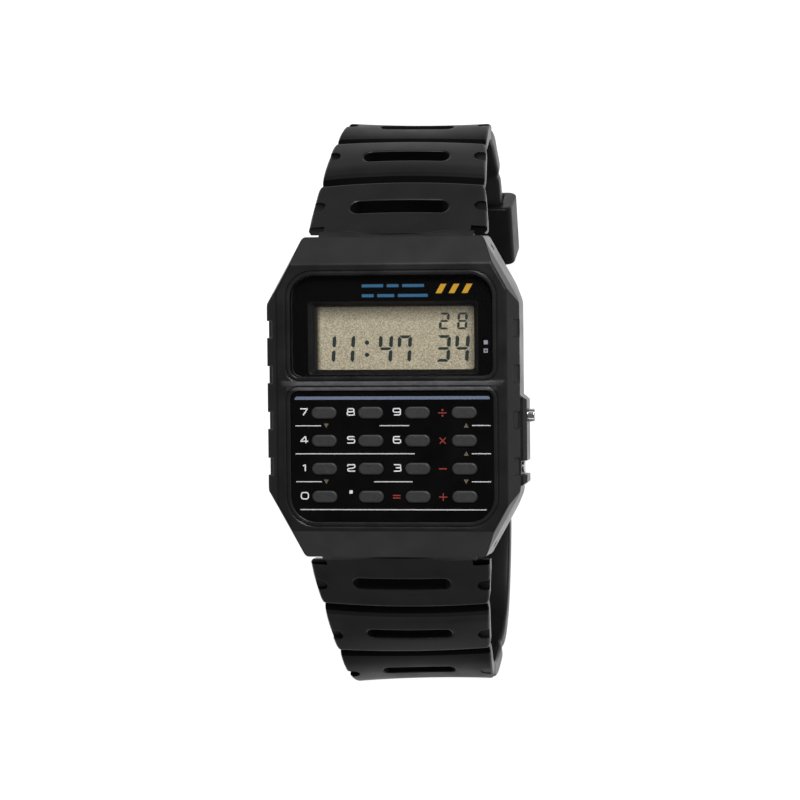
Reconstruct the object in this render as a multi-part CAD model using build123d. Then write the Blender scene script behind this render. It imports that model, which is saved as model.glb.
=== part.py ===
from build123d import *
import math
import os

os.makedirs("parts", exist_ok=True)

# ---------------------------------------------------------------- driving sizes (mm)
# Frame: origin at the centre of the case back's outer face, +Z out through the dial,
# +Y towards twelve o'clock, +X towards three o'clock (the side with the pushers).
T = 8.2                 # case thickness, back to bezel face
CASE_HX, CASE_HY = 17.2, 21.6      # half width and half length of the case
END_HX, SIDE_HY = 12.25, 12.75      # where the corner faces begin
FACE_HX, FACE_HY = 15.62, 17.93    # half size of the flat bezel face
SIDE_DROP, END_DROP, DIAG_DROP = 1.5, 2.2, 1.9
DIAG_IN = 0.45                     # width of the chamfer on the corner faces
RIDGE_UP = 0.10                    # the bar between the two windows stands proud
WIN_HX, WIN_Y0, WIN_Y1 = 13.77, 2.82, 16.48
WIN_R_TOP, WIN_R_BOT = 3.1, 1.2
PAD_HX, PAD_Y0, PAD_Y1 = 13.82, -16.72, 0.95
PAD_R_TOP, PAD_R_BOT = 1.2, 3.5
RING_W, GROOVE_W, GROOVE_D = 0.5, 0.14, 0.16
GAP = 0.05

KEY_X = [-9.23, -2.88, 3.48, 9.83]
KEY_Y = [-2.02, -5.78, -9.55, -13.31]
KEY_L, KEY_W = 3.45, 1.62
KEY_TRAVEL = 0.35

BAR_Y, BAR_Z = 20.0, T - 5.2       # spring bar axes at the lugs
LUG_HX = 10.7                      # half gap between the lug ears
BAR_R, BAR_BORE_R = 0.75, 0.55
TIP_R, TIP_BODY_R = 0.40, 0.51

PUSH_Z = T - 3.6
MODE_Y, ADJ_Y = -2.54, -9.5
BLOCK_X = 18.0

STRAP_HW_END = 9.3
CLASP_Y, CLASP_Z = 3.0, T - 44.2   # buckle bar axis


def zf(d):
    """height of a point that lies d below the bezel face"""
    return T - d


def box(x0, x1, y0, y1, z0, z1):
    return Pos((x0 + x1) / 2, (y0 + y1) / 2, (z0 + z1) / 2) * Box(x1 - x0, y1 - y0, z1 - z0)


def slab(sketch, z0, z1):
    return Pos(0, 0, z0) * extrude(sketch, amount=z1 - z0)


def poly(pts):
    return make_face(Polyline(*[(p[0], p[1]) for p in pts], close=True))


def yz_prism(pts, x0, x1):
    """outline in the YZ plane, run from x0 to x1"""
    return Pos(x0, 0, 0) * extrude(Plane.YZ * poly(pts), amount=x1 - x0)


def xz_prism(pts, y0, y1):
    """outline in the XZ plane, run from y0 to y1"""
    return Pos(0, y1, 0) * extrude(Plane.XZ * poly(pts), amount=y1 - y0)


def rod_x(r, x0, x1, y, z):
    return Pos((x0 + x1) / 2, y, z) * Rot(0, 90, 0) * Cylinder(r, x1 - x0)


def rod_z(r, x, y, z0, z1):
    return Pos(x, y, (z0 + z1) / 2) * Cylinder(r, z1 - z0)


def window_sketch(hx, y0, y1, r_top, r_bot, grow=0.0):
    s = Pos(0, (y0 + y1) / 2) * Rectangle(2 * (hx + grow), y1 - y0 + 2 * grow)
    vs = s.vertices().sort_by(Axis.Y)
    s = fillet(vs[2:], r_top + grow)
    vs = s.vertices().sort_by(Axis.Y)
    return fillet(vs[:2], r_bot + grow)


def round_rect(hx, y0, y1, r):
    return Pos(0, (y0 + y1) / 2) * RectangleRounded(2 * hx, y1 - y0, r)


def cut_corner(hx, hy, cx, cy):
    """eight-sided outline: hx, hy half sizes, the corner runs from (hx, cy) to (cx, hy)"""
    return poly([(hx, cy), (cx, hy), (-cx, hy), (-hx, cy), (-hx, -cy), (-cx, -hy), (cx, -hy), (hx, -cy)])


def save(shape, name, color=None):
    shape.label = name
    export_step(shape, f"parts/{name}.step")
    return shape


parts = {}

# ---------------------------------------------------------------- case
corner = cut_corner(CASE_HX, CASE_HY, END_HX, SIDE_HY)
vs = corner.vertices()
corner = fillet([v for v in vs if abs(abs(v.X) - CASE_HX) < 1e-6], 2.6)
vs = corner.vertices()
corner = fillet([v for v in vs if abs(abs(v.Y) - CASE_HY) < 1e-6], 0.7)
case = slab(corner, 0, T)

dn = (CASE_HY - SIDE_HY, CASE_HX - END_HX)
dl = math.hypot(*dn)
dn = (dn[0] / dl, dn[1] / dl)          # outward normal of the +X +Y corner face
d_out = dn[0] * CASE_HX + dn[1] * SIDE_HY


def bevel(shape, px, py, nx, ny, slope, z_edge, up=True):
    """cuts away what lies beyond a sloping plane that passes through (px, py, z_edge)"""
    s = slope if up else -slope
    z_dir = Vector(nx * slope, ny * slope, 1 if up else -1).normalized()
    pl = Plane(origin=(px, py, z_edge), x_dir=Vector(-ny, nx, 0), z_dir=z_dir)
    return split(shape, bisect_by=pl, keep=Keep.BOTTOM)


for sx in (1, -1):
    case = bevel(case, sx * FACE_HX, 0, sx, 0, SIDE_DROP / (CASE_HX - FACE_HX), T)
    case = bevel(case, sx * 16.0, 0, sx, 0, 2.2, 0, up=False)
for sy in (1, -1):
    case = bevel(case, 0, sy * FACE_HY, 0, sy, END_DROP / (CASE_HY - FACE_HY), T)
for sx in (1, -1):
    for sy in (1, -1):
        q = d_out - DIAG_IN
        case = bevel(case, sx * dn[0] * q, sy * dn[1] * q, sx * dn[0], sy * dn[1], DIAG_DROP / DIAG_IN, T)

# soft edges round the face
top_edges = case.faces().sort_by(Axis.Z)[-1].edges()
try:
    case = fillet(top_edges, 0.35)
except Exception as e:
    print("face edge fillet skipped", e)

# guard block on the pusher side
block = xz_prism([(16.5, zf(1.9)), (17.5, zf(1.75)), (BLOCK_X, zf(2.25)), (BLOCK_X, zf(5.4)), (17.5, zf(6.0)), (16.5, zf(6.0))], -12.15, 0.30)
for yy, s in ((0.30, 1), (-12.15, -1)):
    pl = Plane(origin=(17.05, yy, 0), x_dir=(0, 0, 1), z_dir=Vector(0.75, s * 1.0, 0).normalized())
    block = split(block, bisect_by=pl, keep=Keep.BOTTOM)
case = case + block

# ridge between the windows
ridge = xz_prism([(-15.3, T - 0.4), (-15.3, T), (-15.0, T + RIDGE_UP), (15.0, T + RIDGE_UP), (15.3, T), (15.3, T - 0.4)], 1.62, 2.18)
case = case + ridge

# grips: four shallow pockets down each side
for sx in (1, -1):
    for gy in (9.2, 3.1, -3.1, -9.3):
        blocked = sx > 0 and gy < 0
        z_low = zf(1.72) if sx > 0 else zf(3.8)
        pts = [(16.38, zf(0.2)), (16.38, zf(0.98)), (16.94, zf(1.55)), (16.94, z_low), (17.6, z_low), (17.6, zf(0.2))]
        if blocked:
            pts = [(16.38, zf(0.2)), (16.38, zf(0.98)), (16.94, zf(1.50)), (16.94, z_low), (17.6, z_low), (17.6, zf(0.2))]
        cutter = xz_prism([(sx * a, b) for a, b in pts], gy - 1.15, gy + 1.15)
        case = case - cutter

# notch in the block for the recessed pusher
case = case - box(17.25, 18.6, ADJ_Y - 0.92, ADJ_Y + 0.92, zf(6.3), zf(1.76))

# window openings, with their rings set off by a fine groove
win = window_sketch(WIN_HX, WIN_Y0, WIN_Y1, WIN_R_TOP, WIN_R_BOT)
pad = window_sketch(PAD_HX, PAD_Y0, PAD_Y1, PAD_R_TOP, PAD_R_BOT)
for hx, y0, y1, rt, rb in ((WIN_HX, WIN_Y0, WIN_Y1, WIN_R_TOP, WIN_R_BOT), (PAD_HX, PAD_Y0, PAD_Y1, PAD_R_TOP, PAD_R_BOT)):
    a = window_sketch(hx, y0, y1, rt, rb, RING_W + GROOVE_W)
    b = window_sketch(hx, y0, y1, rt, rb, RING_W)
    case = case - slab(a - b, T - GROOVE_D, T + 0.5)
case = case - slab(win, zf(1.4), T + 1)
case = case - slab(pad, zf(1.25), T + 1)
case = case - slab(round_rect(13.1, 2.0, 15.9, 2.6), zf(2.2), zf(1.4))
case = case - slab(round_rect(13.2, -16.1, 0.4, 2.6), zf(2.2), zf(1.25))

# cavity, gasket groove, back seat, screw holes
CAV_HX, CAV_HY, CAV_CX, CAV_CY = 14.3, 16.4, 10.2, 11.2
cav = cut_corner(CAV_HX, CAV_HY, CAV_CX, CAV_CY)
case = case - slab(cav, -1, zf(1.9))
g0 = offset(cav, 0.2, kind=Kind.INTERSECTION)
g1 = offset(cav, 0.6, kind=Kind.INTERSECTION)
case = case - slab(g1 - g0, zf(7.41), zf(7.1))
back_out = round_rect(15.1, -17.3, 17.3, 3.0)
case = case - slab(back_out, -1, zf(7.4))
SCREWS = [(sx * 13.25, sy * 15.25) for sx in (1, -1) for sy in (1, -1)]
for x, y in SCREWS:
    case = case - rod_z(0.60, x, y, zf(7.5), zf(4.6))

# lug recesses and the holes for the spring bar tips
for sy in (1, -1):
    y0, y1 = sorted((sy * 18.1, sy * 22.5))
    case = case - box(-LUG_HX, LUG_HX, y0, y1, -1, zf(3.4))
    case = case - rod_x(TIP_R + GAP, -15.5, 15.5, sy * BAR_Y, BAR_Z)

# pusher bores
for py, rb, x_out in ((MODE_Y, 0.99, 19.0), (ADJ_Y, 0.79, 19.0)):
    case = case - rod_x(0.62, 14.0, x_out, py, PUSH_Z)
    case = case - rod_x(rb, 15.6, x_out, py, PUSH_Z)
parts["case_bezel"] = case

# ---------------------------------------------------------------- display
cr = window_sketch(WIN_HX - GAP, WIN_Y0 + GAP, WIN_Y1 - GAP, WIN_R_TOP - GAP, WIN_R_BOT - GAP)
crystal = slab(cr, zf(1.38), zf(0.15))
parts["display_window"] = chamfer(crystal.faces().sort_by(Axis.Z)[-1].edges(), 0.1)

frame_blank = slab(round_rect(13.0, 2.1, 15.8, 2.4), zf(2.1), zf(1.42))
ap_top = Pos(0, 0, zf(1.42)) * (Pos(0.05, 7.97) * RectangleRounded(23.1, 9.75, 0.5))
ap_bot = Pos(0, 0, zf(2.1)) * (Pos(0.1, 8.0) * RectangleRounded(21.8, 8.6, 0.4))
parts["lcd_frame"] = frame_blank - loft([ap_bot, ap_top]) - slab(Pos(0.1, 8.0) * RectangleRounded(21.8, 8.6, 0.4), zf(2.2), zf(2.08)) - slab(Pos(0.05, 7.97) * RectangleRounded(23.1, 9.75, 0.5), zf(1.44), zf(1.3))

parts["front_polariser"] = box(-11.6, 11.6, 2.7, 13.3, zf(2.30), zf(2.12))
parts["lcd_panel"] = box(-11.8, 11.8, 2.35, 14.0, zf(3.02), zf(2.32)) + box(-11.8, 11.8, 3.4, 12.95, zf(3.72), zf(3.02))
parts["rear_reflector"] = box(-11.6, 11.6, 3.6, 12.75, zf(3.92), zf(3.74))
parts["zebra_strips"] = Compound(children=[
    box(-11.2, 11.2, 2.42, 3.32, zf(4.43), zf(3.04)),
    box(-11.2, 11.2, 13.03, 13.93, zf(4.43), zf(3.04))])

# ---------------------------------------------------------------- keypad
pd = window_sketch(PAD_HX - GAP, PAD_Y0 + GAP, PAD_Y1 - GAP, PAD_R_TOP - GAP, PAD_R_BOT - GAP)
panel = slab(pd, zf(1.22), zf(0.35))


def key_outline(grow=0.0):
    """long key with blunt rounded ends"""
    hl, hw = KEY_L / 2 + grow, KEY_W / 2 + grow
    return RectangleRounded(2 * hl, 2 * hw, hw - 0.02)


for kx in KEY_X:
    for ky in KEY_Y:
        panel = panel - slab(Pos(kx, ky) * key_outline(GAP), zf(1.4), zf(0.2))
parts["keypad_panel"] = panel

names = [["key_7", "key_8", "key_9", "key_divide"],
         ["key_4", "key_5", "key_6", "key_multiply"],
         ["key_1", "key_2", "key_3", "key_minus"],
         ["key_0", "key_point", "key_equals", "key_plus"]]
for i, ky in enumerate(KEY_Y):
    for j, kx in enumerate(KEY_X):
        cap = slab(key_outline(), zf(1.3), zf(0.0))
        cap = fillet(cap.faces().sort_by(Axis.Z)[-1].edges(), 0.22)
        foot = slab(RectangleRounded(KEY_L + 0.7, KEY_W + 0.7, 1.1), zf(1.60), zf(1.28))
        nub = rod_z(0.7, 0, 0, zf(2.0), zf(1.5))
        parts[names[i][j]] = Pos(kx, ky, 0) * (cap + foot + nub)

pad_blank = make_face(Polyline((12.2, -0.35), (12.2, -12.6), (9.6, -15.9), (-9.6, -15.9), (-12.2, -12.6), (-12.2, -0.35), close=True))
sheet = slab(pad_blank, zf(3.04), zf(2.78))
for kx in KEY_X:
    for ky in KEY_Y:
        sheet = sheet + Pos(kx, ky, zf(2.6)) * Cone(1.3, 0.8, 0.36)
        sheet = sheet - rod_z(0.55, kx, ky, zf(3.1), zf(2.62))
parts["key_sheet"] = sheet
parts["key_contact_board"] = slab(pad_blank, zf(3.35), zf(3.06))

# ---------------------------------------------------------------- module
mf = cut_corner(14.0, 16.1, 10.0, 11.0)
mod = slab(mf, zf(7.15), zf(2.25))
mod = mod - box(-12.4, 12.4, 1.95, 14.2, zf(4.6), zf(2.0))
mod = mod - slab(offset(pad_blank, 0.12, kind=Kind.INTERSECTION), zf(3.38), zf(2.0))
pcb_out = cut_corner(13.2, 15.4, 9.4, 10.4)
mod = mod - slab(pcb_out, 0, zf(4.43))
for py in (MODE_Y, ADJ_Y):
    mod = mod - box(11.2, 14.3, py - 1.65, py + 1.65, zf(5.2), zf(2.0))
parts["module_frame"] = mod

pcb = slab(cut_corner(13.0, 15.2, 9.3, 10.3), zf(5.05), zf(4.45))
parts["circuit_board"] = pcb
parts["processor_chip"] = chamfer((box(2.8, 10.4, 6.2, 13.4, zf(6.10), zf(5.07))).faces().sort_by(Axis.Z)[0].edges(), 0.2)
parts["quartz_crystal"] = Pos(-9.2, 9.6, zf(6.09)) * Rot(90, 0, 0) * Cylinder(1.0, 6.2)
BAT_Y = -5.0
bat = rod_z(9.9, 0, BAT_Y, zf(7.18), zf(5.85)) + rod_z(8.9, 0, BAT_Y, zf(5.85), zf(5.62))
parts["battery"] = bat
bc = box(-1.5, 4.5, BAT_Y - 1.2, BAT_Y + 1.2, zf(5.20), zf(5.07))
bc = bc + xz_prism([(4.5, zf(5.07)), (4.5, zf(5.20)), (6.4, zf(5.60)), (7.4, zf(5.60)), (7.4, zf(5.50)), (6.5, zf(5.47))], BAT_Y - 0.7, BAT_Y + 0.7)
parts["battery_contact"] = bc
clip = box(-11.4, 11.4, BAT_Y - 3.0, BAT_Y + 3.0, zf(7.36), zf(7.22))
for sx in (1, -1):
    x0, x1 = sorted((sx * 11.25, sx * 11.4))
    clip = clip + box(x0, x1, BAT_Y - 3.0, BAT_Y + 3.0, zf(7.3), zf(5.07))
clip = clip - rod_z(2.2, 0, BAT_Y, 0, 2)
parts["battery_clip"] = clip

sc = []
for py in (MODE_Y, ADJ_Y):
    leaf = box(12.42, 12.57, py - 0.7, py + 0.7, zf(4.43), zf(2.95)) + box(11.5, 12.57, py - 0.7, py + 0.7, zf(4.43), zf(4.28))
    sc.append(leaf)
parts["side_contacts"] = Compound(children=sc)

PZ = (-2.6, 9.6)
parts["piezo_disc"] = rod_z(4.6, PZ[0], PZ[1], zf(7.40), zf(7.14))


def coil(axis, start, length, radius, wire, turns):
    """helical spring; axis 'x' or 'z', start is the centre of its first end"""
    path = Helix(pitch=(length - wire) / turns, height=length - wire, radius=radius)
    sec = Plane(origin=path @ 0, z_dir=path % 0) * Circle(wire / 2)
    c = sweep(sec, path=path, is_frenet=True)
    c = Pos(0, 0, wire / 2) * c
    if axis == "x":
        c = Rot(0, 90, 0) * c
    return Pos(*start) * c


parts["piezo_spring"] = coil("z", (PZ[0], PZ[1], zf(7.12)), 2.03, 0.62, 0.18, 5)

# ---------------------------------------------------------------- back
gk = slab(offset(cav, 0.58, kind=Kind.INTERSECTION) - offset(cav, 0.22, kind=Kind.INTERSECTION), zf(7.40), zf(7.11))
parts["back_gasket"] = gk
bk = slab(round_rect(15.05, -17.25, 17.25, 2.95), 0, zf(7.42))
bk = chamfer(bk.faces().sort_by(Axis.Z)[0].edges(), 0.15)
for x, y in SCREWS:
    bk = bk - rod_z(0.66, x, y, -1, 2) - rod_z(1.08, x, y, -1, 0.5)
parts["case_back"] = bk
scr = []
for x, y in SCREWS:
    s = rod_z(1.02, x, y, 0.03, 0.48) + rod_z(0.58, x, y, 0.3, zf(4.8))
    s = s - Pos(x, y, 0.03) * Box(0.36, 1.5, 0.4) - Pos(x, y, 0.03) * Box(1.5, 0.36, 0.4)
    scr.append(s)
parts["case_back_screws"] = Compound(children=scr)

# ---------------------------------------------------------------- pushers
STEM_R = 0.57
m = rod_x(STEM_R, 13.3, 17.2, MODE_Y, PUSH_Z) + rod_x(0.92, 17.0, 18.98, MODE_Y, PUSH_Z)
m = fillet(m.edges().filter_by(GeomType.CIRCLE).sort_by(Axis.X)[-1:], 0.12)
m = m - (rod_x(0.7, 13.98, 14.27, MODE_Y, PUSH_Z) - rod_x(0.40, 13.9, 14.3, MODE_Y, PUSH_Z))
parts["mode_pusher"] = m
a = rod_x(STEM_R, 13.3, 17.0, ADJ_Y, PUSH_Z) + rod_x(0.73, 16.6, 17.45, ADJ_Y, PUSH_Z)
a = a - (rod_x(0.7, 13.98, 14.27, ADJ_Y, PUSH_Z) - rod_x(0.40, 13.9, 14.3, ADJ_Y, PUSH_Z))
a = a - box(17.25, 17.6, ADJ_Y - 0.9, ADJ_Y + 0.9, PUSH_Z - 0.14, PUSH_Z + 0.14)
parts["adjust_pusher"] = a
for nm, py in (("mode_pusher_clip", MODE_Y), ("adjust_pusher_clip", ADJ_Y)):
    c = rod_x(1.05, 14.0, 14.25, py, PUSH_Z) - rod_x(0.41, 13.9, 14.4, py, PUSH_Z)
    c = c - box(13.9, 14.4, py - 0.34, py + 0.34, PUSH_Z - 1.3, PUSH_Z)
    parts[nm] = c
seal_m = rod_x(0.97, 15.62, 16.08, MODE_Y, PUSH_Z) - rod_x(0.59, 15.5, 16.2, MODE_Y, PUSH_Z)
seal_a = rod_x(0.77, 15.62, 16.08, ADJ_Y, PUSH_Z) - rod_x(0.59, 15.5, 16.2, ADJ_Y, PUSH_Z)
parts["pusher_seals"] = Compound(children=[seal_m, seal_a])
parts["mode_pusher_spring"] = coil("x", (16.11, MODE_Y, PUSH_Z), 0.86, 0.78, 0.12, 3)
parts["adjust_pusher_spring"] = coil("x", (16.10, ADJ_Y, PUSH_Z), 0.48, 0.67, 0.08, 2)

# ---------------------------------------------------------------- spring bars


def spring_bar(prefix, y, z, half, reach):
    tube = rod_x(BAR_R, -half, half, y, z) - rod_x(BAR_BORE_R, -half - 1, half + 1, y, z)
    parts[prefix] = tube
    for nm, s in (("_tip_left", -1), ("_tip_right", 1)):
        x0, x1 = sorted((s * (half - 3.2), s * half))
        t = rod_x(TIP_BODY_R, x0, x1, y, z)
        x0, x1 = sorted((s * (half - 0.1), s * reach))
        t = t + rod_x(TIP_R, x0, x1, y, z)
        parts[prefix + nm] = t


spring_bar("spring_bar_12", BAR_Y, BAR_Z, 10.2, 11.9)
spring_bar("spring_bar_6", -BAR_Y, BAR_Z, 10.2, 11.9)
spring_bar("buckle_bar", CLASP_Y, CLASP_Z, 9.1, 10.75)

# ---------------------------------------------------------------- strap
# The side view of each half is a line of points (y, depth below the face) on its outer surface.
PATH_12 = [(21.9, 5.2), (24.1, 7.5), (26.6, 10.1), (29.1, 12.7), (31.7, 15.6), (34.1, 18.9), (36.0, 22.6),
           (37.2, 26.4), (37.1, 29.8), (35.9, 32.9), (33.7, 35.8), (30.9, 38.3), (15.0, 44.3), (11.0, 45.2), (5.6, 45.5)]
PATH_6 = [(-21.9, 5.2), (-24.2, 7.2), (-26.7, 9.3), (-29.3, 11.4), (-32.0, 13.8), (-34.7, 16.4), (-37.3, 19.4),
          (-39.5, 22.8), (-40.8, 26.6), (-40.8, 30.4), (-39.6, 34.0), (-37.3, 37.3), (-34.2, 40.2), (-30.6, 42.4),
          (-26.6, 44.0), (-22.2, 45.1), (-17.4, 45.7), (-12.9, 45.95), (-8.5, 46.1), (-4.5, 46.75), (-0.5, 47.45), (3.5, 47.8)]
STRAP_T, STRAP_T_LUG = 2.0, 2.6
LAYER_GAP = 0.12


def seg_normals(path, sign):
    """outward normal at each point of a side view line; sign gives the side"""
    out = []
    n = len(path)
    for i in range(n):
        a = path[max(i - 1, 0)]
        b = path[min(i + 1, n - 1)]
        p = path[i]
        d1 = (p[0] - a[0], p[1] - a[1])
        d2 = (b[0] - p[0], b[1] - p[1])
        l1, l2 = math.hypot(*d1), math.hypot(*d2)
        if l1 < 1e-9:
            d1, l1 = d2, l2
        if l2 < 1e-9:
            d2, l2 = d1, l1
        t = (d1[0] / l1 + d2[0] / l2, d1[1] / l1 + d2[1] / l2)
        tl = math.hypot(*t)
        t = (t[0] / tl, t[1] / tl)
        c = (d1[0] * t[0] + d1[1] * t[1]) / l1       # mitre
        out.append((sign * -t[1] / c, sign * t[0] / c))
    return out


def shift(path, sign, dist):
    """the same line moved out by dist"""
    return [(p[0] + n[0] * (d if isinstance(dist, list) else dist), p[1] + n[1] * (d if isinstance(dist, list) else dist))
            for p, n, d in zip(path, seg_normals(path, sign), dist if isinstance(dist, list) else [0] * len(path))]


def arcs(path):
    s = [0.0]
    for a, b in zip(path, path[1:]):
        s.append(s[-1] + math.hypot(b[0] - a[0], b[1] - a[1]))
    return s


def lerp(x, table):
    for (x0, y0), (x1, y1) in zip(table, table[1:]):
        if x <= x1:
            return y0 + (y1 - y0) * max(0.0, min(1.0, (x - x0) / (x1 - x0)))
    return table[-1][1]


WIDTHS_12 = [(0, 12.35), (4, 12.1), (11, 11.4), (17, 10.9), (26, 10.15), (36, 9.6), (46, STRAP_HW_END)]
WIDTHS_6 = [(0, 12.35), (4, 12.1), (11, 11.4), (17, 10.9), (26, 10.2), (36, 9.85), (46, 9.7), (60, 9.6), (70, STRAP_HW_END), (100, STRAP_HW_END), (112, 9.0)]


def ribbon(outer, inner, widths):
    """solid strip: consecutive side view points, each with its half width"""
    secs = []
    for (yo, do), (yi, di), hw in zip(outer, inner, widths):
        w = Polyline((-hw, yo, zf(do)), (hw, yo, zf(do)), (hw, yi, zf(di)), (-hw, yi, zf(di)), close=True)
        secs.append(make_face(w))
    return loft(secs, ruled=True)


def depth_sign_path(path):
    # work in (y, z): depth grows downwards
    return [(p[0], -p[1]) for p in path]


def build_half(path, sign, thick, table):
    """outer line in (y, depth); sign +1 where the line runs with its outside on the left"""
    yz = depth_sign_path(path)
    inner = [(p[0] - n[0] * t, p[1] - n[1] * t) for p, n, t in zip(yz, seg_normals(yz, sign), thick)]
    s = arcs(path)
    widths = [lerp(v, table) for v in s]
    return ribbon(path, [(a, -b) for a, b in inner], widths), s, widths


def place_on(path, s_at, sign):
    """point on a side view line at arc s_at: (y, z, tangent, outward normal) in (y, z)"""
    yz = depth_sign_path(path)
    s = arcs(path)
    for i in range(len(s) - 1):
        if s_at <= s[i + 1] or i == len(s) - 2:
            f = (s_at - s[i]) / (s[i + 1] - s[i])
            a, b = yz[i], yz[i + 1]
            t = ((b[0] - a[0]) / (s[i + 1] - s[i]), (b[1] - a[1]) / (s[i + 1] - s[i]))
            n = (sign * -t[1], sign * t[0])
            return a[0] + (b[0] - a[0]) * f, a[1] + (b[1] - a[1]) * f + T, t, n


def on_strap(path, s_at, sign, solid):
    """moves a cutter drawn about the origin (X across, Y along, Z out) onto the strap"""
    y, z, t, n = place_on(path, s_at, sign)
    pl = Plane(origin=(0, y, z), x_dir=(1, 0, 0) if sign < 0 else (-1, 0, 0), z_dir=(0, n[0], n[1]))
    return pl.location * solid


def slot_cutter(half_len, width, depth=8.0):
    return Pos(0, 0, -depth / 2 + 1.0) * extrude(RectangleRounded(2 * half_len, width, width / 2 - 0.01), amount=depth / 2, both=True)


# the twelve o'clock half: path runs from the lug round to the buckle bar, its outside on the left
SG12, SG6 = 1, -1
th12 = [lerp(v, [(0, STRAP_T_LUG), (12, 2.3), (22, STRAP_T)]) for v in arcs(PATH_12)]
strap12, s12, w12 = build_half(PATH_12, SG12, th12, WIDTHS_12)
print("strap_12 path length", round(s12[-1], 2))

knuckle = rod_x(1.70, -LUG_HX + 0.1, LUG_HX - 0.1, BAR_Y, BAR_Z)
web = yz_prism([(BAR_Y + 0.2, BAR_Z + 1.65), (21.3, BAR_Z + 1.1), (22.3, zf(5.6)), (20.6, zf(7.7)), (BAR_Y - 0.6, BAR_Z - 1.6)], -LUG_HX + 0.1, LUG_HX - 0.1)
for sx in (1, -1):
    x0, x1 = sorted((sx * (LUG_HX - 0.1), sx * 13.5))
    strap12 = strap12 - box(x0, x1, 15.0, 21.85, zf(8.9), T)
    x0, x1 = sorted((sx * 10.35, sx * 13.5))
    strap12 = strap12 - box(x0, x1, 15.0, 22.85, zf(7.0), T)
strap12 = strap12 + knuckle + web
strap12 = strap12 - rod_x(BAR_R + GAP, -14, 14, BAR_Y, BAR_Z)
SLOTS_12 = [(5.7, 6.85, 2.9), (16.3, 6.1, 2.5), (25.6, 5.2, 2.3), (35.0, 4.6, 2.2)]
for s_at, hl, wd in SLOTS_12:
    strap12 = strap12 - on_strap(PATH_12, s_at, SG12, slot_cutter(hl, wd))
# end at the buckle bar, with a gap for the tongue's barrel
end12 = rod_x(1.45, -STRAP_HW_END, STRAP_HW_END, CLASP_Y, CLASP_Z)
endweb = yz_prism([(CLASP_Y, CLASP_Z + 1.4), (7.0, zf(43.5)), (7.0, zf(45.5)), (CLASP_Y + 0.4, CLASP_Z - 1.38)], -STRAP_HW_END, STRAP_HW_END)
strap12 = strap12 + end12 + endweb
strap12 = strap12 - rod_x(BAR_R + GAP, -14, 14, CLASP_Y, CLASP_Z)
strap12 = strap12 - box(-1.35, 1.35, CLASP_Y - 2.5, CLASP_Y + 1.75, CLASP_Z - 3, CLASP_Z + 3)
parts["strap_12"] = strap12

# the six o'clock half: round to the buckle, over the other half's end, through the keeper
tail_core = depth_sign_path(PATH_12)
nn = seg_normals(tail_core, SG12)
tail = [(p[0] + n[0] * (LAYER_GAP + STRAP_T), -(p[1] + n[1] * (LAYER_GAP + STRAP_T))) for p, n in zip(tail_core, nn)]
tail = list(reversed(tail))                      # from the buckle towards the lug
tail = [p for p in tail if p[0] > 9.0]
path6 = PATH_6 + [(7.6, 47.85)] + tail
s6 = arcs(path6)
TAIL_END = 112.0
cutp = []
for i, (p, s) in enumerate(zip(path6, s6)):
    if s < TAIL_END:
        cutp.append(p)
    else:
        f = (TAIL_END - s6[i - 1]) / (s - s6[i - 1])
        q = path6[i - 1]
        cutp.append((q[0] + (p[0] - q[0]) * f, q[1] + (p[1] - q[1]) * f))
        break
path6 = cutp
print("strap_6 path", round(arcs(path6)[-1], 2), "ends at y", round(path6[-1][0], 2), "depth", round(path6[-1][1], 2))
th6 = [lerp(v, [(0, STRAP_T_LUG), (12, 2.3), (22, STRAP_T)]) for v in arcs(path6)]
strap6, s6, w6 = build_half(path6, SG6, th6, WIDTHS_6)
knuckle = rod_x(1.70, -LUG_HX + 0.1, LUG_HX - 0.1, -BAR_Y, BAR_Z)
web = yz_prism([(-BAR_Y - 0.2, BAR_Z + 1.65), (-21.3, BAR_Z + 1.1), (-22.3, zf(5.6)), (-20.6, zf(7.7)), (-BAR_Y + 0.6, BAR_Z - 1.6)], -LUG_HX + 0.1, LUG_HX - 0.1)
for sx in (1, -1):
    x0, x1 = sorted((sx * (LUG_HX - 0.1), sx * 13.5))
    strap6 = strap6 - box(x0, x1, -21.85, -15.0, zf(8.9), T)
    x0, x1 = sorted((sx * 10.35, sx * 13.5))
    strap6 = strap6 - box(x0, x1, -22.85, -15.0, zf(7.0), T)
strap6 = strap6 + knuckle + web
strap6 = strap6 - rod_x(BAR_R + GAP, -14, 14, -BAR_Y, BAR_Z)
SLOTS_6 = [(5.1, 6.8, 2.6), (15.1, 6.0, 2.3), (24.3, 5.1, 2.1), (34.0, 4.6, 2.0)]
for s_at, hl, wd in SLOTS_6:
    strap6 = strap6 - on_strap(path6, s_at, SG6, slot_cutter(hl, wd))
# adjustment holes: the one in use takes the tongue
HOLE_Y = -5.0
s_hole = None
for i in range(len(path6) - 1):
    if path6[i][0] <= HOLE_Y <= path6[i + 1][0] and path6[i][1] > 40:
        s_hole = s6[i] + (HOLE_Y - path6[i][0]) / (path6[i + 1][0] - path6[i][0]) * (s6[i + 1] - s6[i])
print("hole in use at arc", round(s_hole, 2))
HOLE_PITCH = 6.0
for k in range(-4, 7):
    s_at = s_hole + k * HOLE_PITCH
    if s_at < 40 or s_at > TAIL_END - 6:
        continue
    hole = Pos(0, 0, -1.0) * extrude(RectangleRounded(2.2, 4.0, 1.05), amount=1.6, both=True)
    strap6 = strap6 - on_strap(path6, s_at, SG6, hole)
parts["strap_6"] = strap6

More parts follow.
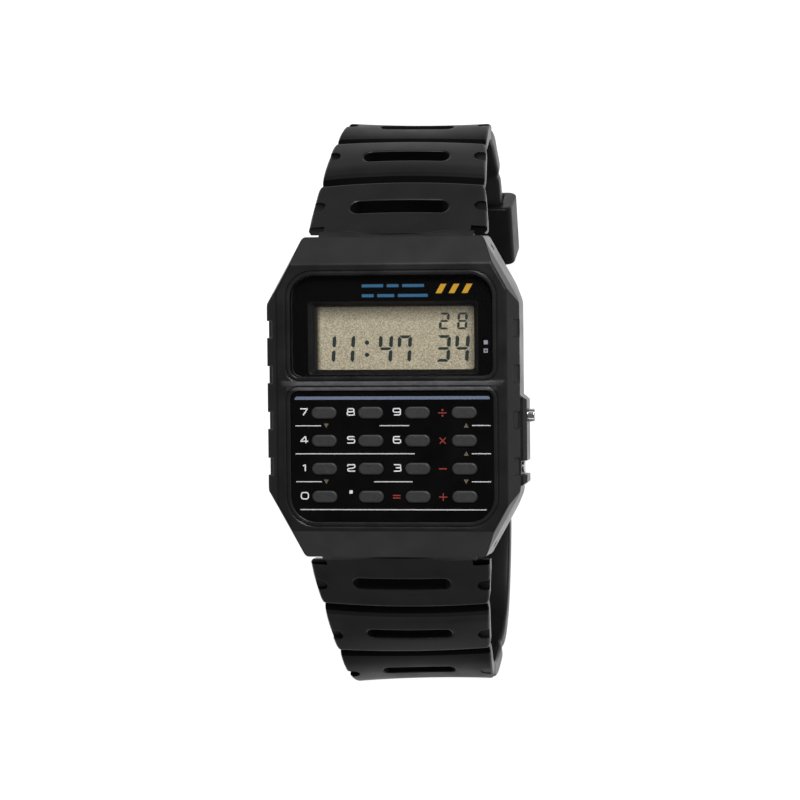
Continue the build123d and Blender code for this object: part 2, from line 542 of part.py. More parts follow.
# ---------------------------------------------------------------- buckle
FRAME_IN, FRAME_OUT = 9.6, 11.3
arm = [(CLASP_Y + 1.3, zf(43.7)), (CLASP_Y + 1.5, zf(44.5)), (CLASP_Y + 0.9, zf(45.4)), (-1.0, zf(46.4)), (-8.2, zf(48.0)), (-10.2, zf(48.0)),
       (-10.6, zf(47.4)), (-10.3, zf(46.5)), (-8.4, zf(46.1)), (-1.0, zf(44.2)), (CLASP_Y - 0.5, zf(43.0)), (CLASP_Y + 0.6, zf(42.95))]
fr = yz_prism(arm, FRAME_IN, FRAME_OUT) + yz_prism(arm, -FRAME_OUT, -FRAME_IN)
fr = fr + yz_prism([(-8.45, zf(46.45)), (-8.2, zf(48.0)), (-10.2, zf(48.0)), (-10.6, zf(47.4)), (-10.35, zf(46.55))], -FRAME_OUT, FRAME_OUT)
fr = fr - box(-1.2, 1.2, -11.0, -7.8, zf(49.0), zf(46.95))
fr = fr - rod_x(TIP_R + GAP, -10.85, 10.85, CLASP_Y, CLASP_Z)
parts["buckle_frame"] = fr

tg = rod_x(1.22, -0.95, 0.95, CLASP_Y, CLASP_Z)
tg = tg + yz_prism([(CLASP_Y, CLASP_Z + 1.0), (CLASP_Y - 0.8, CLASP_Z - 0.7), (-3.5, zf(44.3)), (-5.35, zf(47.85)), (-10.3, zf(47.92)), (-10.3, zf(47.05)),
                     (-6.0, zf(46.98)), (-4.3, zf(43.45)), (-2.6, zf(43.1))], -0.85, 0.85)
tg = tg - rod_x(BAR_R + GAP, -3, 3, CLASP_Y, CLASP_Z)
parts["buckle_tongue"] = tg

# ---------------------------------------------------------------- keeper
KEEP_T, KEEP_L = 1.4, 8.7
ax = (30.9 - 15.0, 44.3 - 38.3)
al = math.hypot(*ax)
ty, tz = ax[0] / al, ax[1] / al                   # along the straight run, towards the lug end
mid = (15.0 + ax[0] * 0.434 + 0.9 * ax[0] / al, 44.3 - (ax[1] * 0.434 + 0.9 * ax[1] / al))
kpl = Plane(origin=(0, mid[0], zf(mid[1])), x_dir=(1, 0, 0), z_dir=(0, ty, tz))   # local y is towards the wrist
side = kpl.y_dir
lo = -(LAYER_GAP + STRAP_T + 0.15)                # outer layer side
hi = STRAP_T + 0.15
hole = (Pos(0, (lo + hi) / 2 * (1 if side.Z > 0 else -1)) * RectangleRounded(2 * (STRAP_HW_END + 0.25), hi - lo, 0.4))
skin = (Pos(0, (lo + hi) / 2 * (1 if side.Z > 0 else -1)) * RectangleRounded(2 * 11.0, hi - lo + 2 * KEEP_T, 1.5))
kp = extrude(kpl * (skin - hole), amount=KEEP_L / 2, both=True)
parts["keeper"] = kp
print("keeper axis", (0, round(ty, 5), round(tz, 5)))

for name, shape in parts.items():
    save(shape, name)
print(len(parts), "parts")
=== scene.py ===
import math

import bmesh
import bpy
from mathutils import Matrix, Vector


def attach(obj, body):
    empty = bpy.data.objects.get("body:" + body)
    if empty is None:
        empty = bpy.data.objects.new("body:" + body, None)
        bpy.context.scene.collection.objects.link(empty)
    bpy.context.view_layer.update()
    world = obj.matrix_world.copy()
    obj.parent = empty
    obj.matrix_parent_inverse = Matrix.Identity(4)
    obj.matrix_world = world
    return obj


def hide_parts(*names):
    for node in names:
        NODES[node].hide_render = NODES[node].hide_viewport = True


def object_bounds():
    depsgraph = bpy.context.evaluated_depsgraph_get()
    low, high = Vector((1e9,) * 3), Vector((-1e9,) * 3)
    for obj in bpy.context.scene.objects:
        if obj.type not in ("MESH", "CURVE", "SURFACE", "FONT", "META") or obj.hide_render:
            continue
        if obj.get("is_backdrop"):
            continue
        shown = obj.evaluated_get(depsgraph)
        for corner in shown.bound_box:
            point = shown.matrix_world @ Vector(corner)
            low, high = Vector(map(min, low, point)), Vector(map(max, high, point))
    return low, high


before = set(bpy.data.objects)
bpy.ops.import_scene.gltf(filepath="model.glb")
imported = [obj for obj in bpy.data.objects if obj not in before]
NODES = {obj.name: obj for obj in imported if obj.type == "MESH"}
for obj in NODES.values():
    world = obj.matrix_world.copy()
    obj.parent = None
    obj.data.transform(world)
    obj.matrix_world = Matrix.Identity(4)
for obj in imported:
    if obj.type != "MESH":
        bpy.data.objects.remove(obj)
lo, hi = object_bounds()
cad_box = [list(lo), list(hi)]

MM = 0.001
T = 8.2                                   # bezel face above the case back, mm
scene = bpy.context.scene

# ------------------------------------------------------------------ camera
CAM_D, CAM_YAW, CAM_PITCH, CAM_ROLL = 477.841, math.radians(9.7133), math.radians(2.2946), math.radians(-0.5751)
CAM_F, CAM_TX, CAM_TY = 3568.96, 1.1925, -0.3247
cd = Vector((math.sin(CAM_YAW) * math.cos(CAM_PITCH), math.sin(CAM_PITCH), math.cos(CAM_YAW) * math.cos(CAM_PITCH)))
cr = Vector((math.cos(CAM_YAW), 0, -math.sin(CAM_YAW)))
cu = cd.cross(cr)
right = math.cos(CAM_ROLL) * cr + math.sin(CAM_ROLL) * cu
up = -math.sin(CAM_ROLL) * cr + math.cos(CAM_ROLL) * cu
EYE = Vector((CAM_TX, CAM_TY, T)) + CAM_D * cd
cam_data = bpy.data.cameras.new("camera")
cam_data.sensor_width = 36
cam_data.lens = CAM_F / 800 * 36
cam_data.clip_start, cam_data.clip_end = 0.01, 10
cam = bpy.data.objects.new("camera", cam_data)
scene.collection.objects.link(cam)
m = Matrix((right, up, cd)).transposed().to_4x4()
m.translation = EYE * MM
cam.matrix_world = m
scene.camera = cam
scene.view_settings.view_transform = "Standard"
scene.view_settings.look = "None"


def sink(x, y, d):
    """a point marked on the face plane, followed along the line of sight to depth d (mm)"""
    k = (EYE.z - (T - d)) / (EYE.z - T)
    return EYE.x + (x - EYE.x) * k, EYE.y + (y - EYE.y) * k


# ------------------------------------------------------------------ materials
def new_mat(name):
    mat = bpy.data.materials.new(name)
    mat.use_nodes = True
    nt = mat.node_tree
    nt.nodes.clear()
    out = nt.nodes.new("ShaderNodeOutputMaterial")
    bs = nt.nodes.new("ShaderNodeBsdfPrincipled")
    nt.links.new(bs.outputs[0], out.inputs[0])
    return mat, nt, bs, out


def coords(nt, scale=(1, 1, 1)):
    tc = nt.nodes.new("ShaderNodeTexCoord")
    mp = nt.nodes.new("ShaderNodeMapping")
    mp.inputs["Scale"].default_value = scale
    nt.links.new(tc.outputs["Object"], mp.inputs["Vector"])
    return mp.outputs[0]


def noise(nt, vec, scale, detail=3.0, rough=0.5):
    n = nt.nodes.new("ShaderNodeTexNoise")
    n.inputs["Scale"].default_value = scale
    n.inputs["Detail"].default_value = detail
    n.inputs["Roughness"].default_value = rough
    nt.links.new(vec, n.inputs["Vector"])
    return n.outputs["Fac"]


def ramp(nt, fac, a, b, lo_pos=0.35, hi_pos=0.65):
    r = nt.nodes.new("ShaderNodeValToRGB")
    r.color_ramp.elements[0].position = lo_pos
    r.color_ramp.elements[1].position = hi_pos
    r.color_ramp.elements[0].color = (*a, 1)
    r.color_ramp.elements[1].color = (*b, 1)
    nt.links.new(fac, r.inputs[0])
    return r.outputs[0]


def span(nt, fac, a, b, from_lo=0.0, from_hi=1.0):
    r = nt.nodes.new("ShaderNodeMapRange")
    r.inputs["From Min"].default_value = from_lo
    r.inputs["From Max"].default_value = from_hi
    r.inputs["To Min"].default_value = a
    r.inputs["To Max"].default_value = b
    nt.links.new(fac, r.inputs["Value"])
    return r.outputs[0]


def mix_col(nt, fac, a, b, mode="MIX"):
    mx = nt.nodes.new("ShaderNodeMix")
    mx.data_type = "RGBA"
    mx.blend_type = mode
    if hasattr(fac, "links"):
        nt.links.new(fac, mx.inputs[0])
    else:
        mx.inputs[0].default_value = fac
    for sock, v in ((mx.inputs[6], a), (mx.inputs[7], b)):
        if hasattr(v, "links"):
            nt.links.new(v, sock)
        else:
            sock.default_value = (*v, 1)
    return mx.outputs[2]


def bump(nt, height, strength, dist, normal=None):
    b = nt.nodes.new("ShaderNodeBump")
    b.inputs["Strength"].default_value = strength
    b.inputs["Distance"].default_value = dist
    nt.links.new(height, b.inputs["Height"])
    if normal is not None:
        nt.links.new(normal, b.inputs["Normal"])
    return b.outputs[0]


def math_node(nt, op, a, b=None):
    n = nt.nodes.new("ShaderNodeMath")
    n.operation = op
    for i, v in enumerate((a, b)):
        if v is None:
            continue
        if hasattr(v, "links"):
            nt.links.new(v, n.inputs[i])
        else:
            n.inputs[i].default_value = v
    return n.outputs[0]


def soft_edge(nt, radius):
    """rounded edge normal, and how near an edge the point lies (0 to 1)"""
    bv = nt.nodes.new("ShaderNodeBevel")
    bv.samples = 4
    bv.inputs["Radius"].default_value = radius
    ge = nt.nodes.new("ShaderNodeNewGeometry")
    dot = nt.nodes.new("ShaderNodeVectorMath")
    dot.operation = "DOT_PRODUCT"
    nt.links.new(bv.outputs[0], dot.inputs[0])
    nt.links.new(ge.outputs["Normal"], dot.inputs[1])
    near = span(nt, dot.outputs["Value"], 1.0, 0.0, 0.80, 0.995)
    return bv.outputs[0], near


def band(nt, value, a, b, soft):
    """1 between a and b (metres), falling to 0 over soft on either side"""
    up_ = span(nt, value, 0.0, 1.0, a - soft, a + soft)
    down = span(nt, value, 1.0, 0.0, b - soft, b + soft)
    return math_node(nt, "MULTIPLY", up_, down)


def bar_sheen_and_scuffs(nt, v, col):
    """the cross bar between the two fields and the keypad ring's upper edge made paler: a painted highlight for the
    sheen these faces catch, broken into flecks of wear
    """
    xyz = nt.nodes.new("ShaderNodeSeparateXYZ")
    nt.links.new(v, xyz.inputs[0])
    top = span(nt, xyz.outputs[2], 0.0, 1.0, 0.00775, 0.00795)
    across = math_node(nt, "ABSOLUTE", xyz.outputs[0])
    cross = math_node(nt, "MULTIPLY", band(nt, xyz.outputs[1], 0.00150, 0.00224, 0.00008), span(nt, across, 1.0, 0.0, 0.0128, 0.0153))
    ring = math_node(nt, "MULTIPLY", band(nt, xyz.outputs[1], 0.00098, 0.00142, 0.00005), span(nt, across, 1.0, 0.25, 0.0125, 0.0140))
    ring = math_node(nt, "MULTIPLY", ring, span(nt, across, 1.0, 0.0, 0.0142, 0.0144))
    flecks = span(nt, noise(nt, coords(nt, (900, 3000, 900)), 1.0, 2, 0.6), 0.7, 1.0, 0.40, 0.60)
    both = math_node(nt, "MULTIPLY", math_node(nt, "MAXIMUM", cross, ring), math_node(nt, "MULTIPLY", top, flecks))
    # paler grey where the painted highlight and the wear flecks lie
    return mix_col(nt, both, col, (0.090, 0.089, 0.096))


def resin(name, base, rough=0.42, grain=4200, grain_amt=0.25, edge=0.00012, edge_wear_and_sheen=0.35, spec=0.5, var=0.22, edge_wear_and_sheen_col=(0.09, 0.088, 0.088)):
    """moulded black resin: fine even grain, faint clouding, slightly polished edges made paler in patches, partly wear
    and partly a painted highlight
    """
    mat, nt, bs, out = new_mat(name)
    v = coords(nt)
    cloud = noise(nt, v, 140, 4, 0.6)
    dark = tuple(c * (1 - var) for c in base)
    lite = tuple(c * (1 + var) for c in base)
    col = ramp(nt, cloud, dark, lite, 0.3, 0.7)
    fine = noise(nt, v, grain, 2, 0.6)
    normal, near = soft_edge(nt, edge)
    # near the edges the colour mixes towards a paler grey in noise patches: partly edge wear, partly a painted
    # highlight along the edges
    patch = span(nt, noise(nt, v, 380, 3, 0.6), 0.1, 1.0, 0.38, 0.66)
    amount = math_node(nt, "MULTIPLY", math_node(nt, "MULTIPLY", near, patch), edge_wear_and_sheen)
    col = mix_col(nt, amount, col, edge_wear_and_sheen_col)
    # the case resin also gets the painted highlight on the cross bar and the ring's upper edge
    if name == "case_resin":
        col = bar_sheen_and_scuffs(nt, v, col)
    nt.links.new(col, bs.inputs["Base Color"])
    r = span(nt, noise(nt, v, 260, 3, 0.5), rough - 0.05, rough + 0.06, 0.3, 0.7)
    r = math_node(nt, "SUBTRACT", r, math_node(nt, "MULTIPLY", near, 0.06))
    nt.links.new(r, bs.inputs["Roughness"])
    bs.inputs["Specular IOR Level"].default_value = spec
    nt.links.new(bump(nt, fine, grain_amt, 0.00002, normal), bs.inputs["Normal"])
    return mat


def steel(name, base=(0.55, 0.55, 0.56), rough=0.28, along=(60, 2600, 60), edge=0.00006, amt=0.25):
    """brushed steel, its lines running across the stretched axis"""
    mat, nt, bs, out = new_mat(name)
    v = coords(nt, along)
    lines = noise(nt, v, 1.0, 4, 0.65)
    v2 = coords(nt)
    spots = noise(nt, v2, 300, 3, 0.6)
    a = tuple(c * 0.82 for c in base)
    b = tuple(min(1.0, c * 1.12) for c in base)
    col = ramp(nt, lines, a, b, 0.3, 0.7)
    col = mix_col(nt, span(nt, spots, 0.0, 0.35, 0.45, 0.75), col, tuple(c * 0.7 for c in base))
    nt.links.new(col, bs.inputs["Base Color"])
    bs.inputs["Metallic"].default_value = 1.0
    nt.links.new(span(nt, lines, rough - 0.08, rough + 0.12, 0.3, 0.7), bs.inputs["Roughness"])
    normal, near = soft_edge(nt, edge)
    nt.links.new(bump(nt, lines, amt, 0.000015, normal), bs.inputs["Normal"])
    return mat


def plain_grain(name, base, rough=0.5, metal=0.0, var=0.15, scale=900, amt=0.2, spec=0.5):
    mat, nt, bs, out = new_mat(name)
    v = coords(nt)
    f = noise(nt, v, scale, 4, 0.6)
    nt.links.new(ramp(nt, f, tuple(c * (1 - var) for c in base), tuple(min(1, c * (1 + var)) for c in base), 0.3, 0.7), bs.inputs["Base Color"])
    nt.links.new(span(nt, f, rough - 0.06, rough + 0.08, 0.3, 0.7), bs.inputs["Roughness"])
    bs.inputs["Metallic"].default_value = metal
    bs.inputs["Specular IOR Level"].default_value = spec
    nt.links.new(bump(nt, f, amt, 0.00001), bs.inputs["Normal"])
    return mat


M = {}
M["case"] = resin("case_resin", (0.0046, 0.0045, 0.0048), rough=0.33, grain=5200, grain_amt=0.20, edge=0.00030, edge_wear_and_sheen=0.14, spec=0.44, edge_wear_and_sheen_col=(0.05, 0.049, 0.049))
M["strap"] = resin("strap_resin", (0.0050, 0.0048, 0.0049), rough=0.37, grain=4300, grain_amt=0.30, edge=0.00010, edge_wear_and_sheen=0.10, var=0.25, spec=0.33, edge_wear_and_sheen_col=(0.05, 0.049, 0.049))
# three darker, less glossy copies of the strap resin, painted shade: the band past each step, the band fading out after
# it, and slot walls and notches
M["strap_step"] = resin("strap_resin_step", (0.0017, 0.0016, 0.0017), rough=0.62, grain=4300, grain_amt=0.20, edge=0.00005, edge_wear_and_sheen=0.0, spec=0.03)
M["strap_fade_shade"] = resin("strap_resin_painted_fade_shade", (0.0034, 0.0033, 0.0034), rough=0.48, grain=4300, grain_amt=0.25, edge=0.00005, edge_wear_and_sheen=0.0, spec=0.18)
M["strap_far"] = resin("strap_resin_turn", (0.0055, 0.0053, 0.0054), rough=0.45, grain=4300, grain_amt=0.30, edge=0.00010, edge_wear_and_sheen=0.05, spec=0.16)
M["strap_slot"] = resin("strap_resin_slot", (0.0016, 0.0015, 0.0016), rough=0.65, grain=4300, grain_amt=0.15, edge=0.00004, edge_wear_and_sheen=0.0, spec=0.04)
M["keeper"] = resin("keeper_resin", (0.0050, 0.0047, 0.0045), rough=0.40, grain=4300, grain_amt=0.25, edge=0.00010, edge_wear_and_sheen=0.10, spec=0.11, edge_wear_and_sheen_col=(0.05, 0.049, 0.049))
M["lcd_frame"] = resin("frame_black", (0.0042, 0.0042, 0.0046), rough=0.38, grain=6000, grain_amt=0.1, edge=0.00008, edge_wear_and_sheen=0.08, spec=0.22, edge_wear_and_sheen_col=(0.05, 0.049, 0.049))


def panel_black():
    """black lacquered plate with the faintest dust"""
    mat, nt, bs, out = new_mat("keypad_black")
    v = coords(nt)
    cloud = noise(nt, v, 200, 3, 0.6)
    col = ramp(nt, cloud, (0.0012, 0.0011, 0.0013), (0.0030, 0.0026, 0.0028), 0.3, 0.7)
    dust = span(nt, noise(nt, v, 7000, 1, 0.5), 0.0, 0.6, 0.78, 0.84)
    col = mix_col(nt, dust, col, (0.05, 0.05, 0.055))
    nt.links.new(col, bs.inputs["Base Color"])
    nt.links.new(span(nt, cloud, 0.16, 0.26, 0.3, 0.7), bs.inputs["Roughness"])
    bs.inputs["Specular IOR Level"].default_value = 0.16
    normal, near = soft_edge(nt, 0.00005)
    nt.links.new(bump(nt, cloud, 0.05, 0.00002, normal), bs.inputs["Normal"])
    return mat


M["panel"] = panel_black()


def key_rubber():
    """dark grey key: fine speckle on top, the rounded rim catching light"""
    mat, nt, bs, out = new_mat("key_grey")
    v = coords(nt)
    fine = noise(nt, v, 9000, 2, 0.7)
    mid = noise(nt, v, 2600, 3, 0.6)
    col = ramp(nt, fine, (0.0115, 0.0108, 0.011), (0.0275, 0.0262, 0.0262), 0.36, 0.66)
    col = mix_col(nt, span(nt, mid, 0.0, 0.35, 0.4, 0.7), col, (0.026, 0.024, 0.025))
    specks = span(nt, noise(nt, v, 5200, 1, 0.5), 0.0, 0.5, 0.70, 0.78)
    col = mix_col(nt, specks, col, (0.10, 0.10, 0.102))
    nt.links.new(col, bs.inputs["Base Color"])
    nt.links.new(span(nt, mid, 0.42, 0.56, 0.3, 0.7), bs.inputs["Roughness"])
    normal, near = soft_edge(nt, 0.00006)
    nt.links.new(bump(nt, fine, 0.35, 0.00002, normal), bs.inputs["Normal"])
    return mat


M["key"] = key_rubber()


def clear(name, tint=(1, 1, 1), ior=1.49, rough=0.03, film=0.0):
    """clear sheet: light goes straight through, a mirror share from the shader's own Fresnel"""
    mat, nt, bs, out = new_mat(name)
    nt.nodes.remove(bs)
    tr = nt.nodes.new("ShaderNodeBsdfTransparent")
    tr.inputs["Color"].default_value = (*tint, 1)
    gl = nt.nodes.new("ShaderNodeBsdfGlossy")
    gl.inputs["Color"].default_value = (1, 1, 1, 1)
    v = coords(nt)
    smear = noise(nt, v, 180, 4, 0.6)
    nt.links.new(span(nt, smear, rough, rough + 0.10, 0.4, 0.8), gl.inputs["Roughness"])
    fr = nt.nodes.new("ShaderNodeFresnel")
    fr.inputs["IOR"].default_value = ior
    fac = math_node(nt, "MULTIPLY", fr.outputs[0], 0.14)
    mx = nt.nodes.new("ShaderNodeMixShader")
    nt.links.new(fac, mx.inputs[0])
    nt.links.new(tr.outputs[0], mx.inputs[1])
    nt.links.new(gl.outputs[0], mx.inputs[2])
    nt.links.new(mx.outputs[0], out.inputs[0])
    return mat


M["window"] = clear("window_glass", (0.985, 0.985, 0.985))
M["polariser"] = clear("polariser_film", (0.97, 0.97, 0.955), ior=1.15)


def lcd_face():
    """reflective display ground: warm grey with fine pearly grain, with a painted shadow along its top and left edges
    and a lighter one along its right edge
    """
    mat, nt, bs, out = new_mat("display_ground")
    v = coords(nt)
    a = noise(nt, v, 4200, 1, 0.6)
    b = noise(nt, v, 9500, 1, 0.6)
    f = math_node(nt, "ADD", math_node(nt, "MULTIPLY", a, 0.45), math_node(nt, "MULTIPLY", b, 0.55))
    col = ramp(nt, f, (0.205, 0.180, 0.134), (0.80, 0.72, 0.555), 0.34, 0.66)
    slow = noise(nt, v, 90, 2, 0.5)
    col = mix_col(nt, span(nt, slow, 0.0, 0.25, 0.35, 0.7), col, (0.50, 0.42, 0.31))
    xyz = nt.nodes.new("ShaderNodeSeparateXYZ")
    nt.links.new(v, xyz.inputs[0])
    # painted shadow: rim is 1 over the open ground, falls to 0 towards the top and left edges and to 0.45 towards the
    # right edge, where the colour goes to near black
    rim = math_node(nt, "MULTIPLY", span(nt, xyz.outputs[1], 1.0, 0.0, 0.0100, 0.01255), span(nt, xyz.outputs[0], 0.0, 1.0, -0.01048, -0.00990))
    rim = math_node(nt, "MULTIPLY", rim, span(nt, xyz.outputs[0], 1.0, 0.45, 0.0097, 0.0108))
    col = mix_col(nt, rim, (0.014, 0.013, 0.011), col)
    nt.links.new(col, bs.inputs["Base Color"])
    bs.inputs["Roughness"].default_value = 0.55
    bs.inputs["Specular IOR Level"].default_value = 0.2
    nt.links.new(bump(nt, f, 0.3, 0.00002), bs.inputs["Normal"])
    return mat


M["lcd"] = lcd_face()
M["steel"] = steel("brushed_steel")
M["steel_x"] = steel("brushed_steel_bars", along=(2600, 60, 60), rough=0.25)
M["buckle"] = steel("buckle_steel", along=(2600, 60, 2600), rough=0.27, amt=0.08)
M["back"] = steel("case_back_steel", base=(0.58, 0.58, 0.585), along=(40, 1800, 1800), rough=0.30)
M["bright"] = steel("bright_steel", base=(0.74, 0.74, 0.745), along=(2200, 90, 90), rough=0.14, amt=0.08)
M["brass"] = plain_grain("contact_brass", (0.62, 0.44, 0.17), rough=0.32, metal=1.0)
M["reflector"] = plain_grain("reflector_foil", (0.55, 0.55, 0.53), rough=0.45, metal=1.0)
M["zebra"] = plain_grain("zebra_rubber", (0.06, 0.06, 0.065), rough=0.7)
M["sheet"] = plain_grain("sheet_rubber", (0.22, 0.22, 0.225), rough=0.7)
M["board"] = plain_grain("board_lacquer", (0.012, 0.09, 0.035), rough=0.35, scale=400)
M["carrier"] = plain_grain("carrier_plastic", (0.06, 0.06, 0.065), rough=0.5)
M["chip"] = plain_grain("chip_black", (0.012, 0.012, 0.012), rough=0.55)
M["seal"] = plain_grain("seal_rubber", (0.018, 0.018, 0.018), rough=0.6)
M["battery"] = plain_grain("battery_can", (0.68, 0.68, 0.69), rough=0.22, metal=1.0)


def ink(name, base, rough=0.45):
    mat, nt, bs, out = new_mat(name)
    v = coords(nt)
    f = noise(nt, v, 5000, 2, 0.6)
    nt.links.new(ramp(nt, f, tuple(c * 0.86 for c in base), tuple(min(1, c * 1.06) for c in base), 0.35, 0.6), bs.inputs["Base Color"])
    nt.links.new(span(nt, f, rough - 0.05, rough + 0.08), bs.inputs["Roughness"])
    bs.inputs["Specular IOR Level"].default_value = 0.3
    nt.links.new(bump(nt, f, 0.15, 0.000005), bs.inputs["Normal"])
    return mat


M["white"] = ink("ink_white", (0.72, 0.72, 0.74))
M["line"] = ink("ink_line", (0.58, 0.57, 0.58))
M["mark"] = ink("ink_mark", (0.34, 0.34, 0.40))
M["red"] = ink("ink_red", (0.27, 0.035, 0.025))
M["tan"] = ink("ink_tan", (0.125, 0.100, 0.065))
M["lavender"] = ink("ink_lavender", (0.135, 0.165, 0.240), rough=0.3)
M["blue"] = ink("ink_blue", (0.030, 0.125, 0.24))
M["yellow"] = ink("ink_yellow", (0.60, 0.32, 0.02))
M["segment"] = ink("display_segment", (0.022, 0.036, 0.036), rough=0.5)
M["mask"] = plain_grain("mask_black", (0.0014, 0.0014, 0.0015), rough=0.7, spec=0.03, scale=2000)

by_node = {
    "case_bezel": "case", "display_window": "window", "lcd_frame": "lcd_frame", "front_polariser": "polariser", "lcd_panel": "lcd",
    "rear_reflector": "reflector", "zebra_strips": "zebra", "keypad_panel": "panel", "key_sheet": "sheet", "key_contact_board": "board",
    "module_frame": "carrier", "circuit_board": "board", "processor_chip": "chip", "quartz_crystal": "battery", "battery": "battery",
    "battery_contact": "brass", "battery_clip": "steel", "side_contacts": "brass", "piezo_disc": "brass", "piezo_spring": "steel",
    "back_gasket": "seal", "case_back": "back", "case_back_screws": "bright", "mode_pusher": "bright", "adjust_pusher": "steel_x",
    "mode_pusher_clip": "steel", "adjust_pusher_clip": "steel", "pusher_seals": "seal", "mode_pusher_spring": "steel",
    "adjust_pusher_spring": "steel", "buckle_frame": "buckle", "buckle_tongue": "buckle",
}
for n in NODES:
    if n.startswith(("spring_bar", "buckle_bar")):
        by_node[n] = "steel_x"
    elif n.startswith("key_") and n not in by_node:
        by_node[n] = "key"
    elif n in ("strap_12", "strap_6"):
        by_node[n] = "strap"
    elif n == "keeper":
        by_node[n] = "keeper"
for n, o in NODES.items():
    o.data.materials.clear()
    o.data.materials.append(M[by_node[n]])


# ------------------------------------------------------------------ mesh helpers
def mesh_object(name, verts, faces, mat, smooth=False, auto=None):
    me = bpy.data.meshes.new(name)
    me.from_pydata([tuple(c * MM for c in v) for v in verts], [], faces)
    me.update()
    bm = bmesh.new()
    bm.from_mesh(me)
    bmesh.ops.recalc_face_normals(bm, faces=bm.faces)
    bm.to_mesh(me)
    bm.free()
    if smooth:
        for p in me.polygons:
            p.use_smooth = True
        if auto is not None:
            me.set_sharp_from_angle(angle=math.radians(auto))
    me.materials.append(mat)
    ob = bpy.data.objects.new(name, me)
    scene.collection.objects.link(ob)
    return ob


class Prints:
    """gathers thin printed shapes into one mesh"""

    def __init__(self):
        self.v, self.f = [], []

    def prism(self, pts, z0, z1):
        """closed outline raised from z0 to z1"""
        area = sum(a[0] * b[1] - b[0] * a[1] for a, b in zip(pts, pts[1:] + pts[:1]))
        if area < 0:
            pts = pts[::-1]
        b = len(self.v)
        n = len(pts)
        self.v += [(x, y, z0) for x, y in pts] + [(x, y, z1) for x, y in pts]
        self.f.append(tuple(b + i for i in reversed(range(n))))
        self.f.append(tuple(b + n + i for i in range(n)))
        for i in range(n):
            j = (i + 1) % n
            self.f.append((b + i, b + j, b + n + j, b + n + i))

    def stroke(self, pts, w, z0, z1, closed=False):
        """a line of width w along pts, with mitred joints"""
        n = len(pts)
        left, rite = [], []
        for i in range(n):
            a = pts[(i - 1) % n] if (closed or i > 0) else None
            c = pts[(i + 1) % n] if (closed or i < n - 1) else None
            p = pts[i]
            d1 = norm2(p[0] - a[0], p[1] - a[1]) if a is not None else None
            d2 = norm2(c[0] - p[0], c[1] - p[1]) if c is not None else None
            if d1 is None:
                d1 = d2
            if d2 is None:
                d2 = d1
            tx, ty = norm2(d1[0] + d2[0], d1[1] + d2[1])
            k = max(0.45, d1[0] * tx + d1[1] * ty)
            ox, oy = -ty * w / 2 / k, tx * w / 2 / k
            left.append((p[0] + ox, p[1] + oy))
            rite.append((p[0] - ox, p[1] - oy))
        b = len(self.v)
        for (lx, ly), (rx, ry) in zip(left, rite):
            self.v += [(lx, ly, z1), (rx, ry, z1), (rx, ry, z0), (lx, ly, z0)]
        last = n if closed else n - 1
        for i in range(last):
            p, q = b + 4 * i, b + 4 * ((i + 1) % n)
            for e in range(4):
                g = (e + 1) % 4
                self.f.append((p + e, q + e, q + g, p + g))
        if not closed:
            self.f.append((b, b + 1, b + 2, b + 3))
            e = b + 4 * (n - 1)
            self.f.append((e + 3, e + 2, e + 1, e))

    def build(self, name, mat, body, slot=None):
        ob = mesh_object(name, self.v, self.f, mat)
        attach(ob, body)
        return ob


def norm2(x, y):
    n = math.hypot(x, y)
    return (x / n, y / n) if n > 1e-12 else (1.0, 0.0)


def rounded(pts, r, closed=False, steps=5):
    """the same line with its corners turned by radius r"""
    out = []
    n = len(pts)
    for i, p in enumerate(pts):
        if not closed and i in (0, n - 1):
            out.append(p)
            continue
        a, c = pts[(i - 1) % n], pts[(i + 1) % n]
        la, lc = math.hypot(a[0] - p[0], a[1] - p[1]), math.hypot(c[0] - p[0], c[1] - p[1])
        q = min(r, la * 0.49, lc * 0.49)
        s = (p[0] + (a[0] - p[0]) / la * q, p[1] + (a[1] - p[1]) / la * q)
        e = (p[0] + (c[0] - p[0]) / lc * q, p[1] + (c[1] - p[1]) / lc * q)
        for k in range(steps + 1):
            t = k / steps
            out.append(((1 - t) ** 2 * s[0] + 2 * t * (1 - t) * p[0] + t * t * e[0],
                        (1 - t) ** 2 * s[1] + 2 * t * (1 - t) * p[1] + t * t * e[1]))
    return out


# ------------------------------------------------------------------ strap
PATH_12 = [(21.9, 5.2), (24.1, 7.5), (26.6, 10.1), (29.1, 12.7), (31.7, 15.6), (34.1, 18.9), (36.0, 22.6), (37.2, 26.4), (37.1, 29.8),
           (35.9, 32.9), (33.7, 35.8), (30.9, 38.3), (15.0, 44.3), (11.0, 45.2), (5.6, 45.5)]
PATH_6 = [(-21.9, 5.2), (-24.2, 7.2), (-26.7, 9.3), (-29.3, 11.4), (-32.0, 13.8), (-34.7, 16.4), (-37.3, 19.4), (-39.5, 22.8),
          (-40.8, 26.6), (-40.8, 30.4), (-39.6, 34.0), (-37.3, 37.3), (-34.2, 40.2), (-30.6, 42.4), (-26.6, 44.0), (-22.2, 45.1),
          (-17.4, 45.7), (-12.9, 45.95), (-8.5, 46.1), (-4.5, 46.75), (-0.5, 47.45), (3.5, 47.8)]
WIDTHS_12 = [(0, 12.40), (4, 12.15), (11, 11.45), (17, 10.95), (26, 10.12), (32, 9.62), (36, 9.4), (46, 9.3)]
WIDTHS_6 = [(0, 12.45), (4, 12.25), (11, 11.52), (17, 11.0), (26, 10.15), (32, 9.75), (36, 9.65), (46, 9.7), (60, 9.6), (70, 9.3), (100, 9.3), (112, 9.0)]
THICKS = [(0, 2.6), (12, 2.3), (22, 2.0)]
SLOTS_12 = [(5.40, 6.80, 2.42), (15.9, 6.0, 2.25), (25.4, 5.2, 2.0), (35.0, 4.6, 2.0)]
